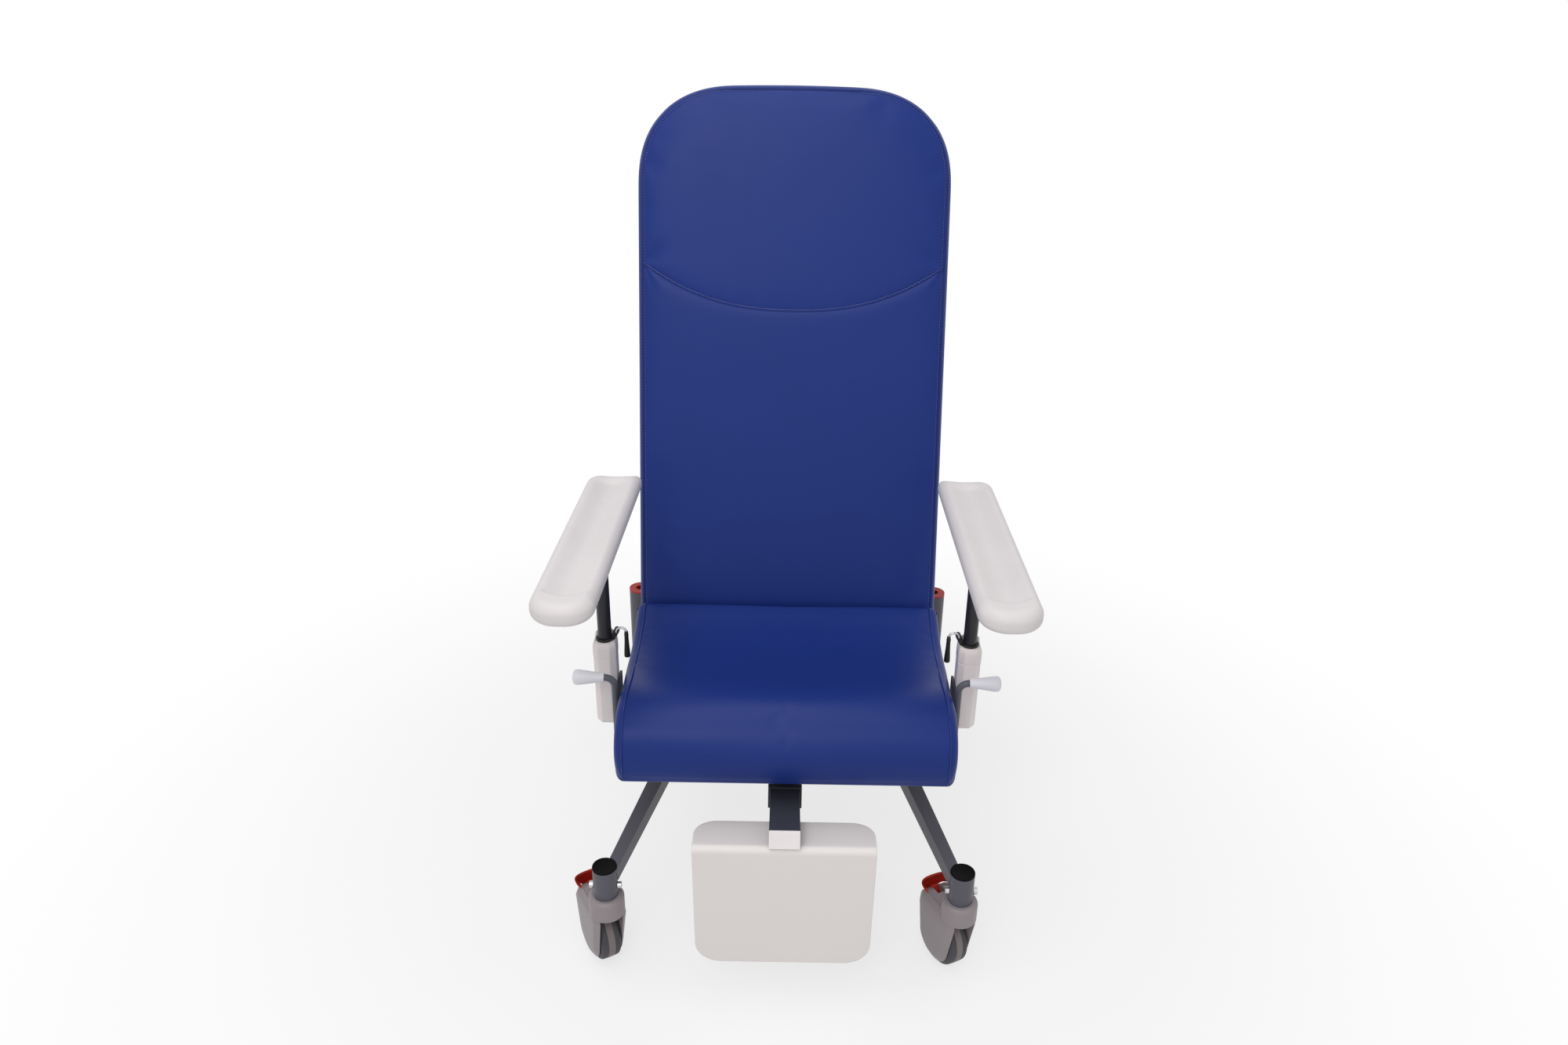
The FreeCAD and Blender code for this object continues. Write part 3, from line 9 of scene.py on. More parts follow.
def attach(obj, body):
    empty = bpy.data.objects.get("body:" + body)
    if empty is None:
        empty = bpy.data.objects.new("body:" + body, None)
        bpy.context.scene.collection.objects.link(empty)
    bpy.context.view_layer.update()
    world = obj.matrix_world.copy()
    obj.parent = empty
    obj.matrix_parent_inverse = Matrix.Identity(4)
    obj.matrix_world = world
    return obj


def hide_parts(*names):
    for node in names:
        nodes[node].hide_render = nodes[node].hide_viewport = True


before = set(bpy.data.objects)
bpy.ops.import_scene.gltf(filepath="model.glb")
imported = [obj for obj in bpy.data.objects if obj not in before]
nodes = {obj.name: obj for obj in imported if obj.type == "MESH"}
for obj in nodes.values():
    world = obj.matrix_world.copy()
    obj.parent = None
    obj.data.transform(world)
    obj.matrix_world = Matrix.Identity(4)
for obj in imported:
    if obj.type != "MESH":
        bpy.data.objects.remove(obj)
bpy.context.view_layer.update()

# Caster wheels. Each is a moulded core with a soft tyre cast round it, and the tread has a paler
# band between two dark ones. The wheel turns on an axle between the housing's two side shells.
# Shapes are worked out in millimetres, and each caster has its own frame: across, back and up.
CORNERS = {"front_left": (-290, -316, 30), "front_right": (290, -316, 26),
           "rear_left": (-306, 345, 0), "rear_right": (306, 345, 0)}
AXLE_BACK, AXLE_HEIGHT = 35, 50
TYRE_HALF, TYRE_RADIUS, TYRE_SEAT, BAND_EDGE = 18, 49.9, 40, 5.7


class Value:
    """A number or colour that varies over a surface. Arithmetic on it adds Math nodes to its finish."""

    def __init__(self, finish, socket):
        self.finish, self.socket = finish, socket

    def math(self, operation, *terms):
        return self.finish.node("ShaderNodeMath", {"operation": operation}, dict(enumerate(terms)))

    def __add__(self, other):
        return self.math("ADD", self, other)

    def __radd__(self, other):
        return self.math("ADD", other, self)

    def __sub__(self, other):
        return self.math("SUBTRACT", self, other)

    def __rsub__(self, other):
        return self.math("SUBTRACT", other, self)

    def __mul__(self, other):
        return self.math("MULTIPLY", self, other)

    def __rmul__(self, other):
        return self.math("MULTIPLY", other, self)

    def __abs__(self):
        return self.math("ABSOLUTE", self)

    def between(self, low, high):
        """A smooth step from 0 at the low value to 1 at the high one."""
        return self.finish.node("ShaderNodeMapRange", {"interpolation_type": "SMOOTHSTEP"},
                                {"Value": self, "From Min": low, "From Max": high})


class Finish:
    """A material, or the surround: one shader, and the nodes that vary its colour, gloss and relief."""

    def __init__(self, name, kind="materials", shader="Principled BSDF"):
        self.material = getattr(bpy.data, kind).new(name)
        self.material.use_nodes = True
        self.tree = self.material.node_tree
        self.shader = self.tree.nodes[shader]

    def feed(self, sockets, values):
        for key, value in values.items():
            if isinstance(value, Value):
                self.tree.links.new(value.socket, sockets[key])
            else:
                sockets[key].default_value = value

    def node(self, kind, settings, values, output=0):
        """Add a node: its settings first, then the values or links of its sockets."""
        made = self.tree.nodes.new(kind)
        for key, setting in settings.items():
            setattr(made, key, setting)
        self.feed(made.inputs, values)
        return Value(self, made.outputs[output])

    def spot(self):
        return self.node("ShaderNodeTexCoord", {}, {}, "Object")

    def noise(self, scale, detail=2.0, stretch=(1, 1, 1)):
        """Cloudy noise on the piece's own coordinates, stretched along its axes."""
        at = self.node("ShaderNodeMapping", {}, {"Vector": self.spot(), "Scale": stretch})
        return self.node("ShaderNodeTexNoise", {}, {"Vector": at, "Scale": scale, "Detail": detail})

    def cells(self, scale):
        """Distance to the nearest of many scattered points, which gives pebbles of one size."""
        return self.node("ShaderNodeTexVoronoi", {"feature": "SMOOTH_F1"},
                         {"Vector": self.spot(), "Scale": scale, "Smoothness": 0.6})

    def kept(self, name):
        """A number that was stored with the mesh's points."""
        return self.node("ShaderNodeAttribute", {"attribute_name": name}, {}, "Fac")

    def blend(self, share, first, second):
        """One colour turning into another as the share goes from 0 to 1."""
        return self.node("ShaderNodeMix", {"data_type": "RGBA"}, {0: share, 6: first, 7: second}, 2)

    def relief(self, height, depth, strength=1.0):
        """Bumps from a height between 0 and 1, as deep as given in metres."""
        return self.node("ShaderNodeBump", {}, {"Height": height, "Distance": depth, "Strength": strength})

    def coat(self, values):
        self.feed(self.shader.inputs, values)


def colour(red, green, blue, level=1.0):
    """The linear colour of a screen colour, by the power law of screens with its straight foot."""
    screen = np.array([red, green, blue]) / 255
    light = np.where(screen < 0.04045, screen / 12.92, ((screen + 0.055) / 1.055) ** 2.4) * level
    return (*light.tolist(), 1.0)


def moulded(name, rgb, gloss=0.5, grain=1400, depth=0.00006, shine=0.35):
    """Moulded plastic: spark-eroded grain, faint clouds of colour, slightly uneven gloss."""
    made = Finish(name)
    clouds = made.noise(14, 4)
    made.coat({"Base Color": made.blend(clouds, colour(*rgb, 0.92), colour(*rgb, 1.08)),
               "Roughness": gloss + 0.12 * (clouds - 0.5), "Specular IOR Level": shine,
               "Normal": made.relief(made.noise(grain, 1), depth)})
    return made


def sheet(grid, round_rows=False, round_columns=False):
    """Points and quads of a grid of points. A rounded direction joins its end to its start."""
    order = np.arange(grid.shape[0] * grid.shape[1]).reshape(grid.shape[:2])
    if round_rows:
        order = np.concatenate([order, order[:1]])
    if round_columns:
        order = np.concatenate([order, order[:, :1]], 1)
    corners = (order[:-1, :-1], order[:-1, 1:], order[1:, 1:], order[1:, :-1])
    return grid.reshape(-1, 3), np.stack(corners, -1).reshape(-1, 4)


def joined(*surfaces):
    """Several surfaces as one: their points in turn, and each one's quads counted on from the last."""
    starts = np.cumsum([0] + [len(points) for points, _ in surfaces])
    return (np.concatenate([points for points, _ in surfaces]),
            np.concatenate([quads + start for (_, quads), start in zip(surfaces, starts)]))


def closed(surface):
    """The same surface with doubled points made one. A quad that loses a corner becomes a triangle."""
    points, quads = surface
    _, first, place = np.unique(np.round(points, 3), axis=0, return_index=True, return_inverse=True)
    quads = place.reshape(-1)[quads]
    twice = quads == np.roll(quads, -1, 1)
    lost = twice.sum(1)
    three = quads[lost == 1][~twice[lost == 1]].reshape(-1, 3)
    return points[first], quads[lost == 0].tolist() + three.tolist(), first


def outward(name, points, faces):
    """A mesh from points in millimetres and faces, all of them turned outwards."""
    mesh = bpy.data.meshes.new(name)
    mesh.from_pydata((points * 0.001).tolist(), [], faces)
    skin = bmesh.new()
    skin.from_mesh(mesh)
    bmesh.ops.recalc_face_normals(skin, faces=skin.faces)
    skin.to_mesh(mesh)
    skin.free()
    return mesh


def added(name, data):
    """An object of the scene from its mesh, lamp or lens."""
    thing = bpy.data.objects.new(name, data)
    bpy.context.scene.collection.objects.link(thing)
    return thing


def piece(name, surface, body, finish, slot, solids=(), crease=30, **kept):
    """A mesh object from points and quads: closed, turned outwards, smooth but for its creases."""
    points, faces, first = closed(surface)
    mesh = outward(name, points, faces)
    for label, numbers in kept.items():
        mesh.attributes.new(label, "FLOAT", "POINT").data.foreach_set("value", numbers.reshape(-1)[first])
    mesh.shade_smooth()
    mesh.set_sharp_from_angle(angle=math.radians(crease))
    mesh.materials.append(finish.material)
    thing = added(name, mesh)
    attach(thing, body)
    if solids:
        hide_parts(*solids)


def dressed(finish, *names):
    """Give solids of the frame their finish."""
    for name in names:
        nodes[name].data.materials.clear()
        nodes[name].data.materials.append(finish.material)


def turned(profile, origin, axis, steps=64, ring=False):
    """A profile of (along, radius) carried round an axis by cosine and sine of the turn."""
    along, radius = np.asarray(profile, float).T[:, :, None]
    turn = np.linspace(0, 2 * np.pi, steps, endpoint=False)[None]
    grid = np.empty((along.shape[0], steps, 3))
    grid[..., axis] = along
    grid[..., (axis + 1) % 3] = radius * np.cos(turn)
    grid[..., (axis + 2) % 3] = radius * np.sin(turn)
    return sheet(grid + np.asarray(origin, float), ring, True)


def on_caster(corner, surface):
    """From a caster's frame to the chair's: a turn about its stem, then the stem's place."""
    x, y, yaw = CORNERS[corner]
    sine, cosine = math.sin(math.radians(yaw)), math.cos(math.radians(yaw))
    across, back, up = surface[0].T
    placed = np.stack([x + across * cosine - back * sine, y + across * sine + back * cosine, up], -1)
    return placed, surface[1]


tread = Finish("two_tone_tread")
band = abs(tread.kept("across")).between(BAND_EDGE - 0.3, BAND_EDGE + 0.3)
dust = tread.noise(60, 5)
dark = tread.blend(dust, colour(64, 62, 68), colour(82, 79, 83))
tread.coat({"Base Color": tread.blend(band, colour(128, 119, 119), dark),
            "Roughness": 0.5 + 0.2 * dust, "Specular IOR Level": 0.35,
            "Normal": tread.relief(tread.noise(900, 2), 0.00008)})
wheel_core = moulded("wheel_core_nylon", (150, 142, 144))
across = np.linspace(-TYRE_HALF, TYRE_HALF, 49)
shoulder = np.clip((np.abs(across) - 12) / 6, 0, 1)
crown = TYRE_RADIUS - 0.5 * (across / 12) ** 2 - 5 * shoulder ** 2.2
crown -= 0.5 * np.exp(-((np.abs(across) - BAND_EDGE) / 0.5) ** 2)
lips = [(TYRE_HALF - 0.8, TYRE_SEAT - 0.8), (TYRE_HALF, TYRE_SEAT)]
tyre_profile = np.concatenate([[(-x, r) for x, r in lips], np.stack([across, crown], -1), lips[::-1]])
for corner in CORNERS:
    tyre = turned(tyre_profile, (0, AXLE_BACK, AXLE_HEIGHT), 0, 96, ring=True)
    piece(f"tyre_{corner}", on_caster(corner, tyre), f"wheel_{corner}", tread, "tread",
          [f"wheel_tyre_{corner}"], across=tyre[0][:, 0])
    dressed(wheel_core, f"wheel_core_{corner}")

# Caster housings. Each is injection moulded: two drafted side shells with a bevelled front edge,
# a hood that joins them over the wheel, and a collar that turns on the steel stem.
housing_grey = moulded("housing_plastic", (150, 141, 144), 0.42, 1100, 0.00005)
stem_zinc = Finish("zinc_plate")
scratches = stem_zinc.noise(260, 4, (1, 1, 0.15))
stem_zinc.coat({"Base Color": stem_zinc.blend(scratches, colour(168, 168, 172), colour(226, 226, 228)),
                "Metallic": 1.0, "Roughness": 0.22 + 0.25 * scratches,
                "Normal": stem_zinc.relief(scratches, 0.00002)})


def run_of(path):
    """The distance along a line at each of its points."""
    return np.concatenate([[0], np.cumsum(np.linalg.norm(np.diff(path, axis=0), axis=1))])


def spread(values, run, at):
    """Values that go with a line's points, read at given distances along it."""
    return np.stack([np.interp(at, run, column) for column in values.T], -1)


def unit(rows):
    """The same headings, each of length one."""
    return rows / np.linalg.norm(rows, axis=-1, keepdims=True)


def belt(discs, count):
    """The outline of a belt round discs: at each heading, the disc that reaches furthest that way.
    Its points and outward headings are then spread evenly along its length."""
    heading = np.linspace(0, 2 * np.pi, 1441)
    out = np.stack([np.cos(heading), np.sin(heading)], -1)
    discs = np.asarray(discs, float)
    which = (out @ discs[:, :2].T + discs[:, 2]).argmax(1)
    edge = discs[which, :2] + discs[which, 2:] * out
    run = run_of(edge)
    even = np.linspace(0, run[-1], count, endpoint=False)
    return spread(edge, run, even), unit(spread(out, run, even))


PEDAL_BACK, PEDAL_HEIGHT, PEDAL_SLOT = 58, 103, 7.6
SHELL_INSIDE, WHEEL_ROOM = 19.7, 53
shell_discs = [(AXLE_BACK, AXLE_HEIGHT, 42), (PEDAL_BACK, PEDAL_HEIGHT, 24), (-4.9, 112, 14.8)]
SHELL_EDGE, SHELL_OUT = belt(shell_discs, 132)


def side_shell(side):
    """The shell's outline carried through rings of (thickness, inset, share towards the middle),
    thinner towards the floor: flat inside, a bevel along the edge, a slightly domed outside."""
    rings = np.array([(0, 9, 1), (0, 9, 0.5), (0, 1.5, 0), (0.1, 0.5, 0), (0.5, 0, 0), (0.9, 0, 0),
                      (1.3, 0.3, 0), (8.9, 9.6, 0), (9.2, 10.6, 0), (9.5, 10.6, 0.4), (9.7, 10.6, 0.75),
                      (9.7, 10.6, 1)])
    thick, inset, share = rings.T[:, :, None]
    edge = SHELL_EDGE - inset[..., None] * SHELL_OUT
    edge += share[..., None] * (np.array([34, 74]) - edge)
    draft = 0.62 + 0.38 * np.clip((edge[..., 1] - 5) / 105, 0, 1)
    across = side * (SHELL_INSIDE + thick * draft)
    return sheet(np.concatenate([across[..., None], edge], -1), False, True)


def hood(low, high, last):
    """A block between two widths that follows the shell's top from the collar to a last point
    behind, its underside on a circle round the axle that clears the tyre."""
    top = SHELL_EDGE[(SHELL_EDGE[:, 0] > -6) & (SHELL_EDGE[:, 1] > 80) & (SHELL_EDGE[:, 0] < last)]
    top = top[np.argsort(np.arctan2(top[:, 1] - AXLE_HEIGHT, top[:, 0] - AXLE_BACK))]
    axle = np.array([AXLE_BACK, AXLE_HEIGHT])
    under = axle + WHEEL_ROOM * unit(top - axle)
    width = np.array([low, high, high, low])[None, :, None] * np.ones((len(top), 1, 1))
    loop = np.concatenate([width, np.stack([top, top, under, under], 1)], -1)
    ends = [loop[[k]].mean(1, keepdims=True).repeat(4, 1) for k in (0, -1)]
    return sheet(np.concatenate([ends[0], loop, ends[1]]), False, True)


quarter = np.linspace(0, np.pi / 2, 9)
collar_rim = np.stack([148 + 6.9 * np.sin(quarter), 22.5 + 7 * np.cos(quarter)], -1)
collar = np.concatenate([[(118, 9.3), (118, 28.8), (118.7, 29.5)], collar_rim, [(154.9, 9.3)]])
for corner in CORNERS:
    parts = [side_shell(-1), side_shell(1), hood(-SHELL_INSIDE, -PEDAL_SLOT, 90),
             hood(PEDAL_SLOT, SHELL_INSIDE, 90), hood(-PEDAL_SLOT, PEDAL_SLOT, 52),
             turned(collar, (0, 0, 0), 2, ring=True)]
    piece(f"housing_{corner}", on_caster(corner, joined(*parts)), f"caster_{corner}", housing_grey,
          "caster_plastic", [f"caster_housing_{corner}", f"caster_axle_{corner}"], crease=18)
dressed(stem_zinc, "caster_stems")

# Brake pedals. Each is a red moulded lip that stands off the back of the housing for a foot to
# press, on an arm that turns about a cross pin inside the hood.
pedal_red = moulded("pedal_plastic", (182, 40, 26), 0.45, 700, 0.00008)


def pedal_lip():
    """A scoop about the pivot: its foot hugs the hood's back and comes forward along both sides, and
    it flares away to a rim. Its thickness closes at both ends."""
    share = np.linspace(-1, 1, 41)[:, None]
    climb = np.linspace(0, 1, 21)[None]
    foot, rim = 6 + 86 * np.abs(share) ** 3, 54 + 20 * np.abs(share) ** 2
    angle = np.radians(foot + climb * (rim - foot))
    inner = 25.7 + 14.5 * climb ** 1.6
    thick = 3.2 * np.sqrt(1 - np.abs(share) ** 14)
    width = 22.5 + 7.5 * np.sin(np.pi / 2 * climb)
    walls = []
    for radius in (inner + 0 * share, inner + thick):
        back, up = PEDAL_BACK + radius * np.cos(angle), PEDAL_HEIGHT + radius * np.sin(angle)
        walls.append(np.stack([share * width, back, up], -1))
    return sheet(np.concatenate([walls[0], walls[1][:, ::-1]], 1), False, True)


def slab(loop, half, axis):
    """A flat plate across an axis: its outline at both faces, each closed to the outline's middle."""
    middle = np.broadcast_to(loop.mean(0), loop.shape)
    rows = ((middle, -half), (loop, -half), (loop, half), (middle, half))
    return sheet(np.stack([np.insert(line, axis, at, 1) for line, at in rows]), False, True)


def pedal_arm():
    """A sector between two radii about the pivot, a little narrower than the slot in the hood."""
    angle = np.radians(np.linspace(20, 56, 9))
    ray = np.stack([np.cos(angle), np.sin(angle)], -1)
    pivot = np.array([PEDAL_BACK, PEDAL_HEIGHT])
    return slab(np.concatenate([pivot + 26.8 * ray, (pivot + 3 * ray)[::-1]]), PEDAL_SLOT - 0.8, 0)


for corner in CORNERS:
    piece(f"pedal_{corner}", on_caster(corner, joined(pedal_lip(), pedal_arm())), f"pedal_{corner}",
          pedal_red, "red_plastic", [f"brake_pedal_{corner}"])

# Caster posts. Round steel tubes, powder coated grey, stand on the caster stems and are pinned to
# them by a cross bolt. The front ones are closed by black caps; the rear ones carry red bushes.


def powder_coat(name, rgb, gloss=0.4):
    """Powder coat: orange peel about a millimetre across, faint clouds, and gloss that varies."""
    made = Finish(name)
    clouds = made.noise(11, 4)
    made.coat({"Base Color": made.blend(clouds, colour(*rgb, 0.9), colour(*rgb, 1.1)),
               "Roughness": gloss + 0.14 * (clouds - 0.5), "Specular IOR Level": 0.35,
               "Normal": made.relief(made.noise(650, 2), 0.00012, 0.6)})
    return made


def eased(width, *names):
    """Take the sharpness off the edges of solids: their loose faces are welded, then bevelled."""
    for name in names:
        weld = nodes[name].modifiers.new("weld", "WELD")
        weld.merge_threshold = 0.00002
        bevel = nodes[name].modifiers.new("edge", "BEVEL")
        bevel.width, bevel.segments, bevel.limit_method = width * 0.001, 2, "ANGLE"
        bevel.angle_limit = math.radians(40)


grey_coat = powder_coat("grey_powder_coat", (88, 86, 96))
black_cap = moulded("black_cap_plastic", (16, 16, 18), 0.62, 900, 0.00006, 0.06)
bush_red = moulded("red_bush_plastic", (168, 34, 24), 0.4, 900, 0.00006)
dressed(grey_coat, "front_caster_posts", "rear_caster_posts")
dressed(bush_red, "pole_socket_bushes")
dressed(stem_zinc, "post_bolts")
cap = [(202.1, 0), (202.1, 17.4), (209.9, 17.4), (209.95, 19.6), (211.6, 20), (212.4, 19.7), (212.9, 18.9),
       (212.8, 17.6), (212.4, 16.9), (212.3, 0)]
piece("front_caps", joined(*[turned(cap, (*CORNERS[c][:2], 0), 2) for c in ("front_left", "front_right")]),
      "base", black_cap, "black_plastic", ["front_post_caps"])

# Base. A square cross beam under the seat carries tapered front legs and level rear legs, welded
# to it and to the posts, and powder coated with them.
dressed(grey_coat, "base_cross_beam", "front_legs", "rear_legs", "seat_columns")
eased(1.6, "base_cross_beam", "front_legs", "rear_legs", "seat_columns")

# Seat frame. Rails and cross tubes of square steel tube on two columns, with the hinge lugs and
# bolts of the back at their rear ends. Each bolt has a socket head outside and a round nut inside.
SIDES = {"left": -1, "right": 1}
HINGE_Y, HINGE_Z = 125, 420
dressed(grey_coat, "seat_rails", "seat_cross_tubes")


def set_at(surface, place, side=1):
    """A surface mirrored across where the side is -1, then moved to its place."""
    return surface[0] * np.array([side, 1, 1]) + np.array(place), surface[1]


bolt_line = [(164.6, 0), (164.6, 8.6), (165.6, 9.5), (170.6, 9.5), (171.4, 8.6), (171.5, 5.9), (208.6, 5.9),
             (208.7, 9.0), (209.4, 9.8), (214.4, 9.8), (215.5, 8.6), (215.5, 4.4), (211.5, 4.0), (211.5, 0)]
bolt = turned(bolt_line, (0, 0, 0), 0, 48)
bolts = [set_at(bolt, (0, HINGE_Y, HINGE_Z), side) for side in SIDES.values()]
piece("hinge_bolts", joined(*bolts), "base", stem_zinc, "zinc", ["back_hinge_bolts"])

# Seat board. A sheet of plywood with a dark film face, cut to the frame and screwed to the rails
# under the cushion. The back has one of the same kind behind its pad.
board = Finish("dark_faced_plywood")
figure = board.noise(22, 6, (1, 14, 14))
board.coat({"Base Color": board.blend(figure, colour(24, 23, 24), colour(58, 52, 48)),
            "Roughness": 0.55 + 0.2 * figure, "Normal": board.relief(figure, 0.0002)})
dressed(board, "seat_pan", "back_panel")

# Seat cushion. Foam on the board under blue vinyl, with a rolled front edge and a topstitched
# seam just inside each side. The skin is swollen by cloth simulation, then its seams are drawn in.
SEAT_HALF, SEAT_ROUND, SEAT_SEAM = 264.2, 13.0, 13.5
SLACK, PRESSURE = 3.0, 4.0


def vinyl_finish(name, rgb):
    """Upholstery vinyl: pebbled grain, finer pores, faint clouds, and painted shade along the seams."""
    made = Finish(name)
    clouds = made.noise(5, 3)
    pebbles = made.cells(720)
    worn = made.noise(30, 4)
    seam = made.kept("seam")
    face = made.blend(clouds, colour(*rgb, 0.93), colour(*rgb, 1.07))
    # Where the seam value is high the colour falls towards 0.4 of the vinyl's own: painted shade in the seam
    # grooves.
    made.coat({"Base Color": made.blend(seam, face, colour(*rgb, 0.4)),
               "Roughness": 0.36 + 0.08 * worn, "Specular IOR Level": 0.17,
               "Normal": made.relief(pebbles + 0.4 * made.noise(1900, 1), 0.00011, 0.5)})
    return made


def smooth_path(corners, each=14):
    """A curve through given points: on each span, the cubic whose slopes are half the step from
    the point before to the point after."""
    known = np.concatenate([2 * corners[:1] - corners[1:2], corners, 2 * corners[-1:] - corners[-2:-1]])
    a, b, c, d = known[:-3, None], known[1:-2, None], known[2:-1, None], known[3:, None]
    t = np.linspace(0, 1, each, endpoint=False)[None, :, None]
    path = b + 0.5 * t * (c - a + t * (2 * a - 5 * b + 4 * c - d + t * (3 * (b - c) + d - a)))
    return np.concatenate([path.reshape(-1, corners.shape[1]), corners[-1:]])


def evened(path, count):
    """The points of a closed line, spread evenly along it."""
    path = np.concatenate([path, path[:1]])
    run = run_of(path)
    return spread(path, run, np.linspace(0, run[-1], count, endpoint=False))


def rounding(depth, size):
    """How far a rounded edge falls back at a depth inside it: a quarter circle of a size."""
    return size - np.sqrt(np.clip(size ** 2 - (size - np.minimum(depth, size)) ** 2, 0, None))


def step(value):
    """A smooth step: 0 below 0, 1 above 1, level at both."""
    value = np.clip(value, 0, 1)
    return value * value * (3 - 2 * value)


def swollen(points, faces, sewn, most):
    """The points of a closed skin after air is let into it, by cloth simulation over twenty steps.
    Sewn points stay, and no other moves further than a limit, which it nears smoothly."""
    mesh = outward("skin", points, faces)
    thing = added("skin", mesh)
    thing.vertex_groups.new(name="sewn").add(np.flatnonzero(sewn).tolist(), 1.0, "REPLACE")
    cloth = thing.modifiers.new("swell", "CLOTH")
    cloth.settings.vertex_group_mass = "sewn"
    cloth.settings.use_pressure = True
    cloth.settings.uniform_pressure_force = PRESSURE
    cloth.settings.effector_weights.gravity = 0
    cloth.settings.bending_stiffness = 6.0
    cloth.point_cache.frame_start, cloth.point_cache.frame_end = 1, 20
    scene = bpy.context.scene
    for tick in range(1, 21):
        scene.frame_set(tick)
    ready = thing.evaluated_get(bpy.context.evaluated_depsgraph_get())
    after = np.empty(len(points) * 3, np.float32)
    ready.data.vertices.foreach_get("co", after)
    bpy.data.objects.remove(thing)
    bpy.data.meshes.remove(mesh)
    scene.frame_set(1)
    move = after.reshape(-1, 3) * 1000.0 - points
    far = np.linalg.norm(move, axis=1, keepdims=True) + 1e-9
    return points + move * most * np.tanh(far / most) / far


def even_moves(at, known, moves):
    """How far the skin has moved at given spots: the mean of its six nearest points' moves,
    weighted by one over the distance squared."""
    gap = ((at[:, None] - known[None]) ** 2).sum(-1)
    near = np.argpartition(gap, 6, axis=1)[:, :6]
    weight = 1 / (np.take_along_axis(gap, near, 1) + 0.5)
    return (moves[near] * weight[..., None]).sum(1) / weight.sum(1, keepdims=True)


def stitches(path, out, pitch, long, thick):
    """Short threads along a line: at each pitch, a small spindle laid along the line."""
    run = run_of(path)
    at = np.arange(pitch / 2, run[-1], pitch)
    up = unit(spread(out, run, at))
    ahead = unit(spread(path, run, at + 1) - spread(path, run, at - 1))
    frames = np.stack([ahead, np.cross(ahead, up), up], 1)
    bend = np.linspace(0, np.pi, 6)[:, None]
    turn = np.linspace(0, 2 * np.pi, 6, endpoint=False)[None]
    spindle = np.stack([-np.cos(bend) * long / 2 + 0 * turn, np.sin(bend) * np.cos(turn) * thick / 2,
                        np.sin(bend) * np.sin(turn) * thick / 2], -1)
    grids = spread(path, run, at)[:, None, None] + np.einsum("rck,skj->srcj", spindle, frames)
    return joined(*[sheet(grid, False, True) for grid in grids])


def side_bulge(back):
    """How much fuller the seat's side is, from none at the roll to 4 mm some way behind it."""
    return 4.0 * step((back + 220) / 110)


blue_vinyl = vinyl_finish("blue_vinyl", (28, 50, 122))
seat_top = np.array([(42.5, 459), (45.6, 475), (47.6, 488), (47.2, 496.4), (42.6, 501.4), (34, 501.6),
                     (16, 496), (-18, 485.4), (-64, 477.6), (-122, 478.6), (-171, 485.2), (-212, 493.4),
                     (-243, 497), (-272, 494), (-296, 483), (-313, 468.5), (-324.5, 449), (-329.8, 424),
                     (-328.4, 402), (-320, 386), (-306, 378.6), (-291, 378.2)])
seat_base = np.array([(-287.4, 380), (-286.7, 386), (-286.7, 409), (-286.3, 413.6), (-282, 414.6),
                      (-200, 414.6), (-100, 414.6), (0, 414.6), (28, 414.6), (32.6, 417.6), (35, 425)])
seat_line = evened(np.concatenate([smooth_path(seat_top), seat_base]), 190)
slope = np.roll(seat_line, -1, 0) - np.roll(seat_line, 1, 0)
seat_out = unit(np.stack([-slope[:, 1], slope[:, 0]], -1))
seat_out *= np.sign(seat_out[seat_line[:, 1].argmax(), 1])
open_air = np.clip((seat_out[:, 1] + 0.75) / 0.5, 0, 1)
open_air[(seat_line[:, 0] > -290) & (seat_line[:, 1] < 413)] = 0
from_side = np.concatenate([[0, 0.3, 1, 2.2, 3.8, 5.8, 8, 10.2, 11.7, 12.6, 13.2, 13.8, 14.4, 15.3],
                            [17, 19.5, 23], np.linspace(28, SEAT_HALF, 38)])
from_side = np.concatenate([from_side, from_side[-2::-1]])
seat_x = (SEAT_HALF - from_side) * np.where(np.arange(len(from_side)) < len(from_side) // 2, -1, 1)
under_roll = (seat_line[:, 0] < -287.5) & (seat_out[:, 1] < 0.2)
drawn_in = np.where(under_roll, 1.25 - 0.25 * np.clip(seat_out[:, 1] * 5, -1, 1), 0.3 + 0.7 * open_air)
fall = rounding(from_side, SEAT_ROUND)[:, None] * drawn_in[None]
level = np.clip(seat_out[:, 1], 0, 1) * np.clip((40 - seat_line[:, 0]) / 90, 0, 1)
arch = 5.5 * (1 - (seat_x / SEAT_HALF) ** 2)[:, None] * level[None]
rings = seat_line[None] - (fall[..., None] - arch[..., None]) * seat_out[None]
spine = np.stack([np.clip(seat_line[:, 0], -290, 10), np.full(len(seat_line), 440.0)], -1)
side_fill = [(rings[end] + share * (spine - rings[end]))[None] for end, share in
             ((0, 1), (0, 0.75), (0, 0.4), (-1, 0.4), (-1, 0.75), (-1, 1))]
rings = np.concatenate([*side_fill[:3], rings, *side_fill[3:]])
seat_across = np.concatenate([[seat_x[0]] * 3, seat_x, [seat_x[-1]] * 3])
depth_in = np.concatenate([[0] * 3, from_side, [0] * 3])
fuller = side_bulge(rings[..., 0]) * (seat_across / SEAT_HALF)[:, None] ** 5
seat_grid = np.concatenate([(seat_across[:, None] + fuller)[..., None], rings], -1)
